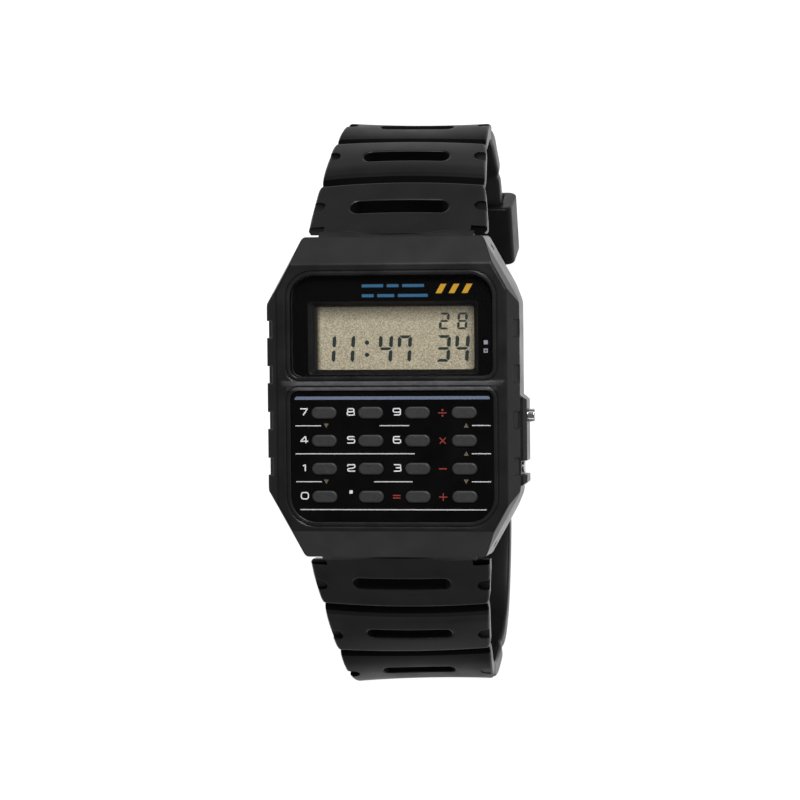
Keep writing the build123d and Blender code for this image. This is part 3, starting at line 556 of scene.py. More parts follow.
SLOTS_6 = [(5.15, 6.75, 2.05), (15.1, 5.95, 1.75), (24.3, 5.1, 1.8), (34.0, 4.6, 1.8)]
DROPS_12 = (10.1, 19.6, 29.8, 40.0)
DROPS_6 = (9.35, 18.9, 29.0, 39.0)
LEAN_12 = 0.0155
LEAN_6 = 0.032
LAYER = 2.12


def lerp(x, table):
    for (x0, y0), (x1, y1) in zip(table, table[1:]):
        if x <= x1:
            return y0 + (y1 - y0) * max(0.0, min(1.0, (x - x0) / (x1 - x0)))
    return table[-1][1]


def smooth(t):
    t = max(0.0, min(1.0, t))
    return t * t * (3 - 2 * t)


class Line:
    """smooth side view line through given points, measured by the length of its straight pieces"""

    def __init__(self, pts, sign):
        self.p = [Vector((y, T - d)) for y, d in pts]
        self.sign = sign
        self.h = [(b - a).length for a, b in zip(self.p, self.p[1:])]
        self.s = [0.0]
        for h in self.h:
            self.s.append(self.s[-1] + h)
        n = len(self.p)
        d = [(b - a) / h for a, b, h in zip(self.p, self.p[1:], self.h)]
        self.m = []
        for i in range(n):
            if i == 0:
                self.m.append(d[0])
            elif i == n - 1:
                self.m.append(d[-1])
            else:
                self.m.append((d[i - 1] * self.h[i] + d[i] * self.h[i - 1]) / (self.h[i - 1] + self.h[i]))

    def at(self, s):
        """(point, tangent, outward normal) in (y, z)"""
        s = max(0.0, min(self.s[-1], s))
        i = 0
        while i < len(self.h) - 1 and s > self.s[i + 1]:
            i += 1
        h = self.h[i]
        t = (s - self.s[i]) / h
        a, b, ma, mb = self.p[i], self.p[i + 1], self.m[i] * h, self.m[i + 1] * h
        p = (2 * t ** 3 - 3 * t * t + 1) * a + (t ** 3 - 2 * t * t + t) * ma + (3 * t * t - 2 * t ** 3) * b + (t ** 3 - t * t) * mb
        v = (6 * t * t - 6 * t) * a + (3 * t * t - 4 * t + 1) * ma + (6 * t - 6 * t * t) * b + (3 * t * t - 2 * t) * mb
        v.normalize()
        return p, v, Vector((-v.y, v.x)) * self.sign


def denser(pts, gap=7.0):
    """adds points on the long straight runs so the smooth line keeps to them"""
    out = [pts[0]]
    for a, b in zip(pts, pts[1:]):
        if math.hypot(b[0] - a[0], b[1] - a[1]) > gap:
            for f in (0.18, 0.36, 0.64, 0.82):
                out.append((a[0] + (b[0] - a[0]) * f, a[1] + (b[1] - a[1]) * f))
        out.append(b)
    return out


def outer_layer(pts):
    """PATH_12 moved outward by one strap thickness and a gap, with mitred corners"""
    yz = [Vector((y, -d)) for y, d in pts]
    out = []
    for i, p in enumerate(yz):
        a, b = yz[max(i - 1, 0)], yz[min(i + 1, len(yz) - 1)]
        d1 = (p - a).normalized() if i > 0 else (b - p).normalized()
        d2 = (b - p).normalized() if i < len(yz) - 1 else d1
        t = (d1 + d2).normalized()
        c = d1.dot(t)
        out.append((p.x - t.y / c * LAYER, -(p.y + t.x / c * LAYER)))
    return out


tail = [p for p in reversed(outer_layer(PATH_12)) if p[0] > 9.0]
full6 = PATH_6 + [(7.6, 47.85)] + tail
s_run, cut6 = 0.0, [full6[0]]
for a, b in zip(full6, full6[1:]):
    h = math.hypot(b[0] - a[0], b[1] - a[1])
    if s_run + h >= 112.0:
        f = (112.0 - s_run) / h
        cut6.append((a[0] + (b[0] - a[0]) * f, a[1] + (b[1] - a[1]) * f))
        break
    s_run += h
    cut6.append(b)
LINE_12 = Line(denser(PATH_12), 1)
LINE_6 = Line(denser(cut6), -1)


def relief(s, x, w, slots, drops):
    """height of the strap's outer face above its line: crown, stepped ribs and softened slot lips"""
    crown = 0.65 * smooth((26 - s) / 12) - 0.28 * smooth((s - 18) / 9) * smooth((52 - s) / 6)
    h = crown * (0.32 - (x / w) ** 2) + 0.10 * smooth((s - 20) / 5) * smooth((40 - s) / 5)
    for d in drops:
        if d <= s < d + 4.0:
            q = (s - d) / 4.0
            h -= 0.55 * (1 - q) ** 2 * (1 if s < 38 else 0.8)
        elif d - 0.25 < s < d:
            q = (s - d + 0.25) / 0.25
            h -= 0.08 * q * q
    for c, half, wd in slots:
        if abs(s - c) < wd / 2 + 0.4:
            sd = math.hypot(max(abs(x) - (half - wd / 2), 0), s - c) - wd / 2
            if sd < 0.26:
                q = 1 - max(sd, 0) / 0.26
                h -= 0.15 * (1 - math.sqrt(max(0.0, 1 - q * q)))
    return h


DRIFT_12 = [(0, 0.0), (3, -0.10), (10, -0.42), (20, -0.45), (27, -0.20), (33, 0.10), (40, 0.40), (54, 0.40), (62, 0.0), (68, 0.0)]
DRIFT_6 = [(0, -0.10), (6, -0.32), (16, -0.36), (24, -0.20), (32, 0.0), (42, 0.22), (60, 0.25), (70, 0.0), (112, 0.0)]


def drift(line, s):
    """small sideways set of the worn strap"""
    return lerp(s, DRIFT_12 if line.sign > 0 else DRIFT_6)


def lean(s):
    return smooth((s - 10) / 12) * (1 - smooth((s - 38) / 12))


def strap_sweep(name, line, widths, slots, drops, fine_to, tilt, end_round=0.0):
    """closed strip swept along its line with the outer face's relief"""
    rows = []
    s, end = 0.0, line.s[-1]
    while s < end - 1e-6:
        rows.append(s)
        step = 0.17 if s < fine_to else 0.45
        for d in drops:
            if d - 0.6 < s < d + 0.5 and s < fine_to:
                step = 0.045
        for c, half, wd in slots:
            if abs(abs(s - c) - wd / 2 - 0.1) < 0.42 and s < fine_to:
                step = 0.07
        if end_round and s > end - end_round:
            step = 0.02 + 0.10 * (end - s)
        s += step
        for d in drops:
            if rows[-1] < d - 0.001 < s:
                s = d - 0.001
            elif abs(rows[-1] - (d - 0.001)) < 1e-9:
                s = d + 0.012
    rows.append(end)
    NT, NC, NB = 118, 6, 30
    verts, count = [], None
    for s in rows:
        p, t, n = line.at(s)
        w = lerp(s, widths)
        for d in drops:
            w -= 0.20 * math.exp(-((s - d - 0.3) / 0.8) ** 2) + 0.10 * smooth((d + 4 - s) / 4) * (s > d)
        if end_round and s > end - end_round:
            w = w - end_round + math.sqrt(max(0.0, end_round ** 2 - (s - end + end_round) ** 2))
        th = lerp(s, THICKS)
        rt, rb = 0.45, 0.40
        loop = []
        for j in range(NT):
            x = -(w - rt) + 2 * (w - rt) * j / (NT - 1)
            loop.append((x, relief(s, x, w, slots, drops)))
        edge = loop[-1][1]
        for k in range(1, NC + 1):
            a = math.pi / 2 * (1 - k / NC)
            loop.append((w - rt + rt * math.cos(a), edge - rt + rt * math.sin(a)))
        for k in range(NC + 1):
            a = -math.pi / 2 * k / NC
            loop.append((w - rb + rb * math.cos(a), -th + rb + rb * math.sin(a)))
        for j in range(1, NB):
            x = (w - rb) - 2 * (w - rb) * j / NB
            loop.append((x, -th))
        for k in range(NC + 1):
            a = -math.pi / 2 * (1 - k / NC)
            loop.append((-(w - rb) - rb * math.cos(a), -th + rb + rb * math.sin(a)))
        for k in range(NC):
            a = math.pi / 2 * k / NC
            loop.append((-(w - rt) - rt * math.cos(a), edge - rt + rt * math.sin(a)))
        count = len(loop)
        k, dx = tilt * lean(s), drift(line, s)
        for x, h in loop:
            h -= k * x
            verts.append((x + dx, p.x + n.x * h, p.y + n.y * h))
    faces = []
    for i in range(len(rows) - 1):
        a, b = i * count, (i + 1) * count
        for j in range(count):
            k = (j + 1) % count
            faces.append((a + j, a + k, b + k, b + j))
    faces.append(tuple(reversed(range(count))))
    faces.append(tuple((len(rows) - 1) * count + j for j in range(count)))
    ob = mesh_object(name, verts, faces, M["strap"])
    dress(ob)
    # painted shade in each groove: top faces from a step to 1.45 mm past it take the darkest copy, on to 2.2 mm the
    # less dark one; other faces past the second step take the far-loop copy
    for i in range(len(rows) - 1):
        mid = (rows[i] + rows[i + 1]) / 2
        kind = 4 if mid > drops[1] else 0
        for d in drops:
            if d < mid < d + 2.2:
                kind = 1 if mid < d + 1.45 else 2
        if kind:
            for j in list(range(NT + NC - 2)) + list(range(count - NC + 1, count)):
                ob.data.polygons[i * count + j].material_index = kind
    return ob


def dress(ob, index=0):
    """gives a strap shape the strap resin and its four copies, three darker ones for painted shade (step band, fading
    band, slots and notches) and one for the far loop; all faces get the one at index
    """
    ob.data.materials.clear()
    for m in ("strap", "strap_step", "strap_fade_shade", "strap_slot", "strap_far"):
        ob.data.materials.append(M[m])
    for p in ob.data.polygons:
        p.material_index = index


class Cutter:
    """closed shapes gathered to be cut away in one go"""

    def __init__(self):
        self.v, self.f = [], []

    def add(self, outline, low, high, place):
        """outline in (u, v), raised along the third axis from low to high, then placed"""
        area = sum(a[0] * b[1] - b[0] * a[1] for a, b in zip(outline, outline[1:] + outline[:1]))
        if area < 0:
            outline = outline[::-1]
        b, n = len(self.v), len(outline)
        self.v += [place(u, v, low) for u, v in outline] + [place(u, v, high) for u, v in outline]
        self.f.append(tuple(b + i for i in reversed(range(n))))
        self.f.append(tuple(b + n + i for i in range(n)))
        for i in range(n):
            j = (i + 1) % n
            self.f.append((b + i, b + j, b + n + j, b + n + i))

    def box(self, x0, x1, y0, y1, z0, z1):
        self.add([(x0, y0), (x1, y0), (x1, y1), (x0, y1)], z0, z1, lambda u, v, w: (u, v, w))

    def prism_z(self, pts, z0, z1):
        self.add(pts, z0, z1, lambda u, v, w: (u, v, w))

    def rod_x(self, r, x0, x1, y, z, n=48):
        self.add([(y + r * math.cos(2 * math.pi * i / n), z + r * math.sin(2 * math.pi * i / n)) for i in range(n)], x0, x1, lambda u, v, w: (w, u, v))

    def prism_x(self, pts, x0, x1):
        self.add(pts, x0, x1, lambda u, v, w: (w, u, v))

    def build(self, name, index=0):
        ob = mesh_object(name, self.v, self.f, M["strap"])
        dress(ob, index)
        return ob


def stadium(hx, hy, n=12):
    """long round-ended outline with half sizes hx, hy"""
    r = min(hx, hy)
    out = []
    for q in range(4):
        cx = (hx - r) * (1 if q in (0, 3) else -1)
        cy = (hy - r) * (1 if q in (0, 1) else -1)
        for i in range(n + 1):
            a = math.pi / 2 * (q + i / n)
            pt = (cx + r * math.cos(a), cy + r * math.sin(a))
            if not out or math.hypot(pt[0] - out[-1][0], pt[1] - out[-1][1]) > 1e-6:
                out.append(pt)
    if math.hypot(out[0][0] - out[-1][0], out[0][1] - out[-1][1]) < 1e-6:
        out.pop()
    return out


def carve(ob, tool, op="DIFFERENCE", solver="MANIFOLD"):
    """applies one boolean and removes the tool object"""
    before = len(ob.data.polygons)
    md = ob.modifiers.new("cut", "BOOLEAN")
    md.operation = op
    md.solver = solver
    md.object = tool
    md.material_mode = "INDEX"
    dg = bpy.context.evaluated_depsgraph_get()
    me = bpy.data.meshes.new_from_object(ob.evaluated_get(dg))
    if solver == "MANIFOLD" and len(me.polygons) in (0, before):
        md.solver = "EXACT"
        dg = bpy.context.evaluated_depsgraph_get()
        me = bpy.data.meshes.new_from_object(ob.evaluated_get(dg))
    ob.modifiers.clear()
    mats = [m for m in ob.data.materials]
    ob.data = me
    if not me.materials:
        for m in mats:
            me.materials.append(m)
    bpy.data.objects.remove(tool)
    return ob


def placer(line, s_at):
    p, t, n = line.at(s_at)
    dx = drift(line, s_at)
    return lambda u, v, w: (u + dx, p.x + t.x * v + n.x * w, p.y + t.y * v + n.y * w)


def edge_recess(cut, line, s_at, widths, side, level):
    """small round-ended pocket open to the strap's edge"""
    w = lerp(s_at, widths)
    cx = w - 0.72
    pts = [(cx + 2.0, 0.95), (cx, 0.95)]
    for i in range(1, 16):
        a = math.pi / 2 + math.pi * i / 16
        pts.append((cx + 0.95 * math.cos(a), 0.95 * math.sin(a)))
    pts += [(cx, -0.95), (cx + 2.0, -0.95)]
    cut.add([(side * x, y) for x, y in pts], level - 0.36, level + 2.5, placer(line, s_at))


def strap_half(name, line, widths, slots, drops, ysign, fine_to, tilt, end_round=0.0):
    ob = strap_sweep(name, line, widths, slots, drops, fine_to, tilt, end_round)
    cut, far_cut, pockets = Cutter(), Cutter(), {1: Cutter(), -1: Cutter()}
    for c, half, wd in slots:
        (cut if c < 20 else far_cut).add(stadium(half, wd / 2), -4.2, 2.0, placer(line, c))
        edge = relief(c, lerp(c, widths) - 0.5, lerp(c, widths), [], ())
        for side in (1, -1):
            edge_recess(pockets[side], line, c + (0.45 if ysign > 0 else 0.60), widths, side, edge)
    # painted shade inside: the near slots' walls take the darkest copy, the far slots' walls and the pockets on the
    # right the less dark one, the pockets on the left the plain resin
    carve(ob, cut.build("cut", 3))
    carve(ob, far_cut.build("cut", 2))
    carve(ob, pockets[1].build("cut", 2))
    carve(ob, pockets[-1].build("cut", 0))
    cut = Cutter()
    for sx in (1, -1):
        x0, x1 = sorted((sx * 10.15, sx * 14.0))
        y0, y1 = sorted((ysign * 15.0, ysign * (21.85 if ysign > 0 else 22.25)))
        cut.box(x0, x1, y0, y1, T - 8.9, T + 1)
    carve(ob, cut.build("cut"))
    reach = 0.95 if ysign > 0 else 0.85
    # painted shade: the notch on the right takes the darkest copy, the one on the left the plain resin
    for sx, index in ((1, 3), (-1, 0)):
        cut = Cutter()
        pts = [(10.05, -3.0), (14.0, -3.0), (14.0, reach), (10.05, reach)]
        cut.add([(sx * x, y) for x, y in pts], -0.64, 2.5, placer(line, 0.9))
        carve(ob, cut.build("cut", index))
    cut = Cutter()
    y_tip = 21.85 if ysign > 0 else 22.25
    for sx in (1, -1):
        rise = 2.0 if ysign > 0 else 1.5
        cut.prism_z([(sx * (12.5 - rise / 2), ysign * (y_tip - 0.5)), (sx * 13.5, ysign * (y_tip - 0.5)), (sx * 13.5, ysign * (y_tip + rise))], T - 12.0, T)
    carve(ob, cut.build("cut"))
    return ob


def union_into(ob, others):
    """joins more closed shapes into one mesh object"""
    bm = bmesh.new()
    bm.from_mesh(ob.data)
    for o in others:
        bm.from_mesh(o.data)
        bpy.data.objects.remove(o)
    bm.to_mesh(ob.data)
    bm.free()


def finish_strap(ob, angle=38):
    for p in ob.data.polygons:
        p.use_smooth = True
    ob.data.set_sharp_from_angle(angle=math.radians(angle))


def knuckle(ysign):
    y = ysign * 20.0
    a = Cutter()
    a.rod_x(1.70, -10.6, 10.6, y, 3.0)
    ob = a.build("knuckle")
    b = Cutter()
    b.prism_x([(ysign * 20.2, 4.65), (ysign * 21.3, 4.1), (ysign * 22.3, T - 5.6), (ysign * 20.6, T - 7.7), (ysign * 19.4, 1.4)], -10.6, 10.6)
    # painted shade: the web takes the less dark copy of the strap resin
    carve(ob, b.build("web", 2), "UNION", "EXACT")
    c = Cutter()
    c.rod_x(BAR_HOLE, -12, 12, y, 3.0)
    return carve(ob, c.build("cut"), "DIFFERENCE", "EXACT")


BAR_HOLE = 0.80
strap12 = strap_half("strap_12_skin", LINE_12, WIDTHS_12, SLOTS_12, DROPS_12, 1, 50.0, LEAN_12)
a = Cutter()
a.rod_x(1.45, -9.3, 9.3, 3.0, -36.0)
end12 = a.build("end")
b = Cutter()
b.prism_x([(3.0, -34.6), (7.0, T - 43.5), (7.0, T - 45.5), (3.4, -37.38)], -9.26, 9.26)
carve(end12, b.build("web"), "UNION", "EXACT")
c = Cutter()
c.rod_x(BAR_HOLE, -12, 12, 3.0, -36.0)
carve(end12, c.build("cut"), "DIFFERENCE", "EXACT")
c = Cutter()
c.box(-1.35, 1.35, 0.5, 4.75, -39.0, -33.0)
carve(end12, c.build("cut"), "DIFFERENCE", "EXACT")
union_into(strap12, [knuckle(1), end12])
finish_strap(strap12)
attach(strap12, "watch")
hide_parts("strap_12")

strap6 = strap_half("strap_6_skin", LINE_6, WIDTHS_6, SLOTS_6, DROPS_6, -1, 50.0, LEAN_6, end_round=4.0)
cut = Cutter()
for k in range(-4, 6):
    s_at = 75.27 + 6.0 * k
    if 40 <= s_at <= 106:
        cut.add(stadium(1.1, 2.0), -3.2, 1.0, placer(LINE_6, s_at))
carve(strap6, cut.build("cut"))
union_into(strap6, [knuckle(-1)])
finish_strap(strap6)
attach(strap6, "watch")
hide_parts("strap_6")

# ------------------------------------------------------------------ keeper
AX = Vector((0, 0.93561, 0.35303))
MID = Vector((0, 22.743, T - 41.378))
OUT = Vector((0, 0.35303, -0.93561))


def ring_outline(hx, lo_n, hi_n, r, n=8, m=14):
    """rounded rectangle, every corner with n steps and every side with m"""
    cy, hy = (lo_n + hi_n) / 2, (hi_n - lo_n) / 2
    corners = [(hx - r, hy - r, 0), (-(hx - r), hy - r, 1), (-(hx - r), -(hy - r), 2), (hx - r, -(hy - r), 3)]
    pts = []
    for q, (x, y, k) in enumerate(corners):
        for i in range(n + 1):
            a = math.pi / 2 * (k + i / n)
            pts.append((x + r * math.cos(a), cy + y + r * math.sin(a)))
        nx, ny, nk = corners[(q + 1) % 4]
        ex, ey = nx + r * math.cos(math.pi / 2 * nk), cy + ny + r * math.sin(math.pi / 2 * nk)
        sx, sy = pts[-1]
        for i in range(1, m):
            pts.append((sx + (ex - sx) * i / m, sy + (ey - sy) * i / m))
    return pts


inner = ring_outline(9.55, -2.15, 2.27, 0.4)
outer = [(x + (0.30 if x > 0 else 0.0), y) for x, y in ring_outline(11.0, -3.55, 3.67, 1.1)]
sec = []
LEN, RR = 4.35, 0.42
for f0, a0, q in ((1, 1, 0), (0, 1, 1), (0, -1, 2), (1, -1, 3)):
    for i in range(6):
        ang = math.pi / 2 * (q + i / 5)
        cf = 1 - RR / 1.4 if f0 else RR / 1.4
        ca = (LEN - RR) * a0
        sec.append((cf + RR / 1.4 * math.cos(ang), ca + RR * math.sin(ang)))
verts, faces = [], []
for (ix, iy), (ox, oy) in zip(inner, outer):
    for f, a in sec:
        x, y = ix + (ox - ix) * f, iy + (oy - iy) * f
        pt = MID + OUT * y + AX * a
        verts.append((x, pt.y, pt.z))
ns, nr = len(sec), len(inner)
for i in range(nr):
    for j in range(ns):
        a, b = i * ns, ((i + 1) % nr) * ns
        k = (j + 1) % ns
        faces.append((a + j, a + k, b + k, b + j))
ring = mesh_object("keeper_skin", verts, faces, M["keeper"], smooth=True, auto=40)
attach(ring, "keeper")
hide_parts("keeper")

# wide square-shouldered figures, drawn as strokes in a box one wide and one high, centred
GLYPHS = {
    "0": [([(-.5, .5), (.5, .5), (.5, -.5), (-.5, -.5)], True, .34)],
    "1": [([(-.22, .30), (.10, .5), (.10, -.5)], False, .06)],
    "2": [([(-.5, .24), (-.5, .5), (.5, .5), (.5, .03), (-.5, -.14), (-.5, -.5), (.52, -.5)], False, .22)],
    "3": [([(-.48, .5), (.46, .5), (.46, .02), (-.22, .02)], False, .22), ([(-.22, .02), (.5, .02), (.5, -.5), (-.5, -.5)], False, .24)],
    "4": [([(.22, -.5), (.22, .5), (.06, .5)], False, .05), ([(.10, .5), (-.50, -.20), (.55, -.20)], False, .05)],
    "5": [([(.48, .5), (-.46, .5), (-.48, .07), (.5, .09), (.5, -.5), (-.52, -.5)], False, .20)],
    "6": [([(.40, .5), (-.5, .5), (-.5, -.10)], False, .30), ([(-.5, .06), (.5, .06), (.5, -.5), (-.5, -.5)], True, .26)],
    "7": [([(-.52, .5), (.50, .5), (-.12, -.5)], False, .05)],
    "8": [([(-.44, .5), (.44, .5), (.44, .02), (-.44, .02)], True, .22), ([(-.5, .02), (.5, .02), (.5, -.5), (-.5, -.5)], True, .24)],
    "9": [([(-.40, -.5), (.5, -.5), (.5, .10)], False, .30), ([(-.5, -.06), (.5, -.06), (.5, .5), (-.5, .5)], True, .26)],
}


def glyph(pr, ch, cx, cy, w, h, stroke_w, z0, z1):
    for k, (pts, closed, r) in enumerate(GLYPHS[ch]):
        iw, ih = w - stroke_w, h - stroke_w
        p = [(cx + x * iw, cy + y * ih) for x, y in pts]
        pr.stroke(rounded(p, r * h, closed), stroke_w, z0, z1 + 0.002 * k, closed)


# ------------------------------------------------------------------ printing on the keypad
PAD_TOP = T - 0.35
Z0, Z1 = PAD_TOP - 0.004, PAD_TOP + 0.010


def on_pad(x, y):
    return sink(x, y, 0.35)


figures = Prints()
DIG_X = (-11.93, -5.53, 0.74)
DIG_Y = (-1.90, -5.66, -9.43, -13.18)
for row, (y, chars) in enumerate(zip(DIG_Y, ("789", "456", "123", "0"))):
    for x, ch in zip(DIG_X, chars):
        px, py = on_pad(x, y)
        glyph(figures, ch, px, py, 1.14, 1.02, 0.162, Z0, Z1)
px, py = on_pad(-5.60, -12.66)
figures.prism([(px - .22, py - .22), (px + .22, py - .22), (px + .22, py + .22), (px - .22, py + .22)], Z0, Z1)
figures.build("keypad_figures", M["white"], "watch")

ops = Prints()
for y, kind in ((-2.06, "div"), (-5.79, "mul"), (-9.55, "sub"), (-13.34, "add")):
    x, y = on_pad(6.93, y)
    if kind in ("div", "sub", "add"):
        ops.stroke([(x - .55, y), (x + .55, y)], .15, Z0, Z1)
    if kind == "div":
        for s in (1, -1):
            ops.prism([(x + .13 * math.cos(a * math.pi / 8), y + s * .37 + .13 * math.sin(a * math.pi / 8)) for a in range(16)], Z0, Z1)
    if kind == "mul":
        for s in (1, -1):
            ops.stroke([(x - .40, y - s * .40), (x + .40, y + s * .40)], .14, Z0, Z1 + 0.002 * (s > 0))
    if kind == "add":
        ops.stroke([(x, y - .50), (x, y + .50)], .14, Z0, Z1 + 0.002)
x, y = on_pad(0.62, -13.30)
for s in (1, -1):
    ops.stroke([(x - .52, y + s * .17), (x + .52, y + s * .17)], .15, Z0, Z1)
ops.build("keypad_operators", M["red"], "watch")

rules = Prints()
for y, runs in ((-3.76, ((-13.12, -9.61), (-1.62, 2.41), (10.90, 13.42))), (-7.53, ((-13.14, 3.13), (10.86, 13.43))),
                (-11.29, ((-13.12, -9.62), (-2.44, 2.79), (10.83, 13.42))), (-15.05, ((-12.58, 12.78),))):
    for x0, x1 in runs:
        a, b = on_pad(x0, y), on_pad(x1, y)
        rules.stroke([a, b], .13, Z0, Z1)
rules.build("keypad_rules", M["line"], "watch")

marks = Prints()
for x, y, s in ((-8.90, -3.73, -1), (10.13, -3.77, 1), (10.10, -7.53, 1), (-8.96, -11.28, -1), (10.06, -11.26, -1)):
    x, y = on_pad(x, y)
    marks.prism([(x - .33, y - s * .27), (x + .33, y - s * .27), (x, y + s * .32)], Z0, Z1)
marks.build("keypad_arrows", M["tan"], "watch")

bar = Prints()
(x0, y0), (x1, y1) = on_pad(-13.18, -0.26), on_pad(13.34, 0.17)
bar.prism([(x0, y0), (x1, y0), (x1, y1 - .2), (x1 - .22, y1), (x0 + .22, y1), (x0, y1 - .2)], Z0, Z1)
bar.build("keypad_band", M["lavender"], "watch")

# ------------------------------------------------------------------ marks under the display window
UNDER = 1.395
ZU0, ZU1 = T - UNDER - 0.004, T - UNDER + 0.010


def rounded_box(x0, x1, y0, y1, radii, n=10):
    """outline with corner radii given for the four corners from lower left round anticlockwise"""
    out = []
    for (cx, cy, sx, sy, q), r in zip(((x0, y0, 1, 1, 2), (x1, y0, -1, 1, 3), (x1, y1, -1, -1, 0), (x0, y1, 1, -1, 1)), radii):
        for i in range(n + 1):
            a = math.pi / 2 * (q + i / n)
            out.append((cx + sx * r + r * math.cos(a), cy + sy * r + r * math.sin(a)))
    return out


mask = Cutter()
mask.add(rounded_box(-13.66, 13.66, 2.93, 16.37, (1.1, 1.1, 3.0, 3.0)), T - 1.415, T - 1.397, lambda u, v, w: (u, v, w))
mask = mask.build("window_mask")
hole = Cutter()
hole.add(rounded_box(0.05 - 11.62, 0.05 + 11.62, 7.97 - 4.94, 7.97 + 4.94, (0.5, 0.5, 0.5, 0.5)), T - 1.6, T - 1.2, lambda u, v, w: (u, v, w))
carve(mask, hole.build("cut"), "DIFFERENCE", "EXACT")
mask.data.materials.clear()
mask.data.materials.append(M["mask"])
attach(mask, "watch")
side_marks = Prints()
x, y = sink(12.87, 7.33, UNDER)
side_marks.prism([(x - .27, y - .27), (x + .27, y - .27), (x + .27, y + .27), (x - .27, y + .27)], ZU0, ZU1)
x, y = sink(12.85, 6.22, UNDER)
side_marks.stroke([(x - .20, y - .20), (x + .20, y - .20), (x + .20, y + .20), (x - .20, y + .20)], .15, ZU0, ZU1, closed=True)
side_marks.build("window_marks", M["mark"], "watch")
blue = Prints()
for y, runs in ((14.98, ((-3.85, -0.95), (-0.45, 1.15), (1.65, 4.60))), (13.66, ((-3.85, -2.25), (-1.75, 0.55), (1.05, 5.09)))):
    for x0, x1 in runs:
        a, b = sink(x0, y, UNDER), sink(x1, y, UNDER)
        blue.stroke([a, b], .40, ZU0, ZU1)
blue.build("window_lines", M["blue"], "watch")
yellow = Prints()
for i in range(3):
    x, y = sink(6.9 + i * 1.75, 14.55, UNDER)
    yellow.prism([(x - .75, y - .62), (x + .05, y - .62), (x + .75, y + .62), (x - .05, y + .62)], ZU0, ZU1)
yellow.build("window_slants", M["yellow"], "watch")

# ------------------------------------------------------------------ display figures
SEG_D = 2.31
ZS0, ZS1 = T - SEG_D - 0.003, T - SEG_D + 0.002
SEGMENTS = {"0": "abcdef", "1": "bc", "2": "abged", "3": "abgcd", "4": "fgbc", "5": "afgcd", "6": "afgedc", "7": "abcf", "8": "abcdefg", "9": "abcdfg"}


def seven(pr, ch, cx, cy, w, h, t, slant=0.065):
    """one seven-part figure, its parts with pointed ends and small gaps"""
    g = 0.10 * t / 0.5
    hw, hh = w / 2, h / 2
    v = hw - t / 2

    def place(pts):
        return [sink(cx + x + slant * y, cy + y, SEG_D) for x, y in pts]

    for s in SEGMENTS[ch]:
        if s in "ad":
            k = 1 if s == "a" else -1
            pts = [(-hw + .5 * t, k * hh), (hw - .5 * t, k * hh), (hw - t * .42, k * (hh - .22 * t)), (hw - t * 1.05, k * (hh - .78 * t)), (-hw + t * 1.05, k * (hh - .78 * t)), (-hw + t * .42, k * (hh - .22 * t))]
        elif s == "g":
            pts = [(-hw + t * .30, 0), (-hw + t * .85, t * .36), (hw - t * .85, t * .36), (hw - t * .30, 0), (hw - t * .85, -t * .36), (-hw + t * .85, -t * .36)]
        else:
            kx = 1 if s in "bc" else -1
            ky = 1 if s in "bf" else -1
            q = hh - (0.30 * t if (s in "bf" and "a" in SEGMENTS[ch]) or (s in "ce" and "d" in SEGMENTS[ch]) else 0.0)
            lo_y = g + t * .12
            pts = [(kx * (v + t * .5), ky * (q - t * .5)), (kx * (v + t * .12), ky * q), (kx * (v - t * .5), ky * (q - t * .62)),
                   (kx * (v - t * .5), ky * (lo_y + t * .5)), (kx * (v + t * .05), ky * lo_y), (kx * (v + t * .5), ky * (lo_y + t * .4))]
        pr.prism(place(pts), ZS0, ZS1)


seg = Prints()
for x, ch in ((-8.44, "1"), (-5.86, "1"), (-0.70, "4"), (1.87, "7"), (7.13, "3"), (9.67, "4")):
    seven(seg, ch, x, 6.55, 1.92, 3.56, 0.50)
for dy in (0.82, -0.82):
    x, y = sink(-3.22, 6.57 + dy, SEG_D)
    seg.prism([(x + .30 * math.cos(a * math.pi / 10), y + .30 * math.sin(a * math.pi / 10)) for a in range(20)], ZS0, ZS1)
for x, ch in ((7.30, "2"), (9.74, "8")):
    seven(seg, ch, x, 10.21, 1.38, 2.26, 0.36)
seg.build("display_figures", M["segment"], "watch")

# ------------------------------------------------------------------ stage and light
bpy.ops.mesh.primitive_plane_add(size=1.6, location=(0, 0, cad_box[0][2] - 0.0002))
floor = bpy.context.object
floor.name = "floor"
mat, nt, bs, out = new_mat("floor_paper_glowing")
v = coords(nt)
n1 = noise(nt, v, 8, 3, 0.5)
nt.links.new(ramp(nt, n1, (0.21, 0.21, 0.21), (0.24, 0.24, 0.24)), bs.inputs["Base Color"])
bs.inputs["Roughness"].default_value = 0.9
bs.inputs["Specular IOR Level"].default_value = 0.0
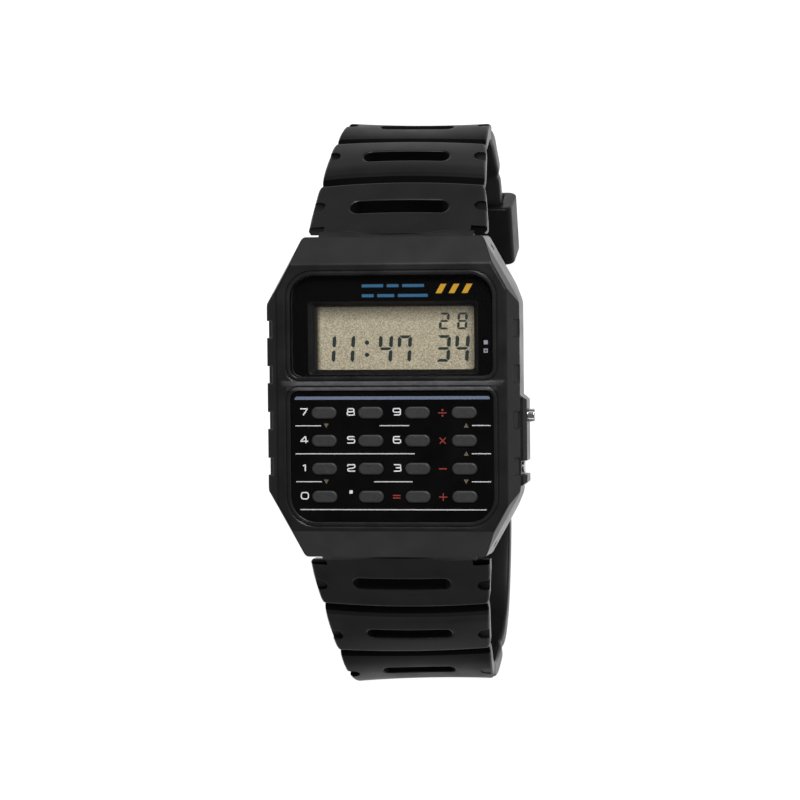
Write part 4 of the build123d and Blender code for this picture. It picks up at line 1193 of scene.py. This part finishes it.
# painted light: the floor glows, near full over a patch around the watch, falling off to the sides and along y, weaker
# beyond and weakest far to the left; the glow also washes out the floor's shadows
xyz = nt.nodes.new("ShaderNodeSeparateXYZ")
nt.links.new(v, xyz.inputs[0])
far_y = math_node(nt, "ABSOLUTE", math_node(nt, "ADD", xyz.outputs[1], 0.012))
glow = math_node(nt, "MULTIPLY", span(nt, xyz.outputs[0], 0.0, 1.0, -0.125, -0.076), span(nt, xyz.outputs[0], 1.0, 0.0, 0.062, 0.165))
glow = math_node(nt, "MULTIPLY", glow, span(nt, far_y, 1.0, 0.0, 0.070, 0.165))
rest = span(nt, xyz.outputs[0], 0.02, 0.17, -0.19, -0.05)
glow = math_node(nt, "MAXIMUM", glow, rest)
nt.links.new(ramp(nt, glow, (0.0, 0.0, 0.0), (1.0, 1.0, 1.0), 0.0, 1.0), bs.inputs["Emission Color"])
bs.inputs["Emission Strength"].default_value = 0.96
floor.data.materials.append(mat)
floor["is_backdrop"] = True

world = bpy.data.worlds.new("studio")
scene.world = world
world.use_nodes = True
wn = world.node_tree
wn.nodes["Background"].inputs[0].default_value = (0.13, 0.13, 0.134, 1)
wn.nodes["Background"].inputs[1].default_value = 1.0


def softbox(name, at, size, power, aim=(0, 0, 0), col=(1, 1, 1)):
    li = bpy.data.lights.new(name, "AREA")
    li.shape = "RECTANGLE"
    li.size, li.size_y = size
    li.energy = power
    li.color = col
    ob = bpy.data.objects.new(name, li)
    ob.location = at
    ob.rotation_mode = "QUATERNION"
    ob.rotation_quaternion = (Vector(aim) - Vector(at)).to_track_quat("-Z", "Y")
    scene.collection.objects.link(ob)
    return ob


softbox("top_box", (0.02, 0.42, 0.24), (0.55, 0.22), 0.22)
softbox("low_box", (0.02, -0.42, 0.22), (0.55, 0.20), 0.30)
softbox("right_box", (0.46, 0.0, 0.10), (0.5, 0.22), 0.30)
softbox("key_box", (0.10, 0.33, 0.50), (0.14, 0.14), 3.5)

# ------------------------------------------------------------------ sizes
bpy.context.view_layer.update()
lo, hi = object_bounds()
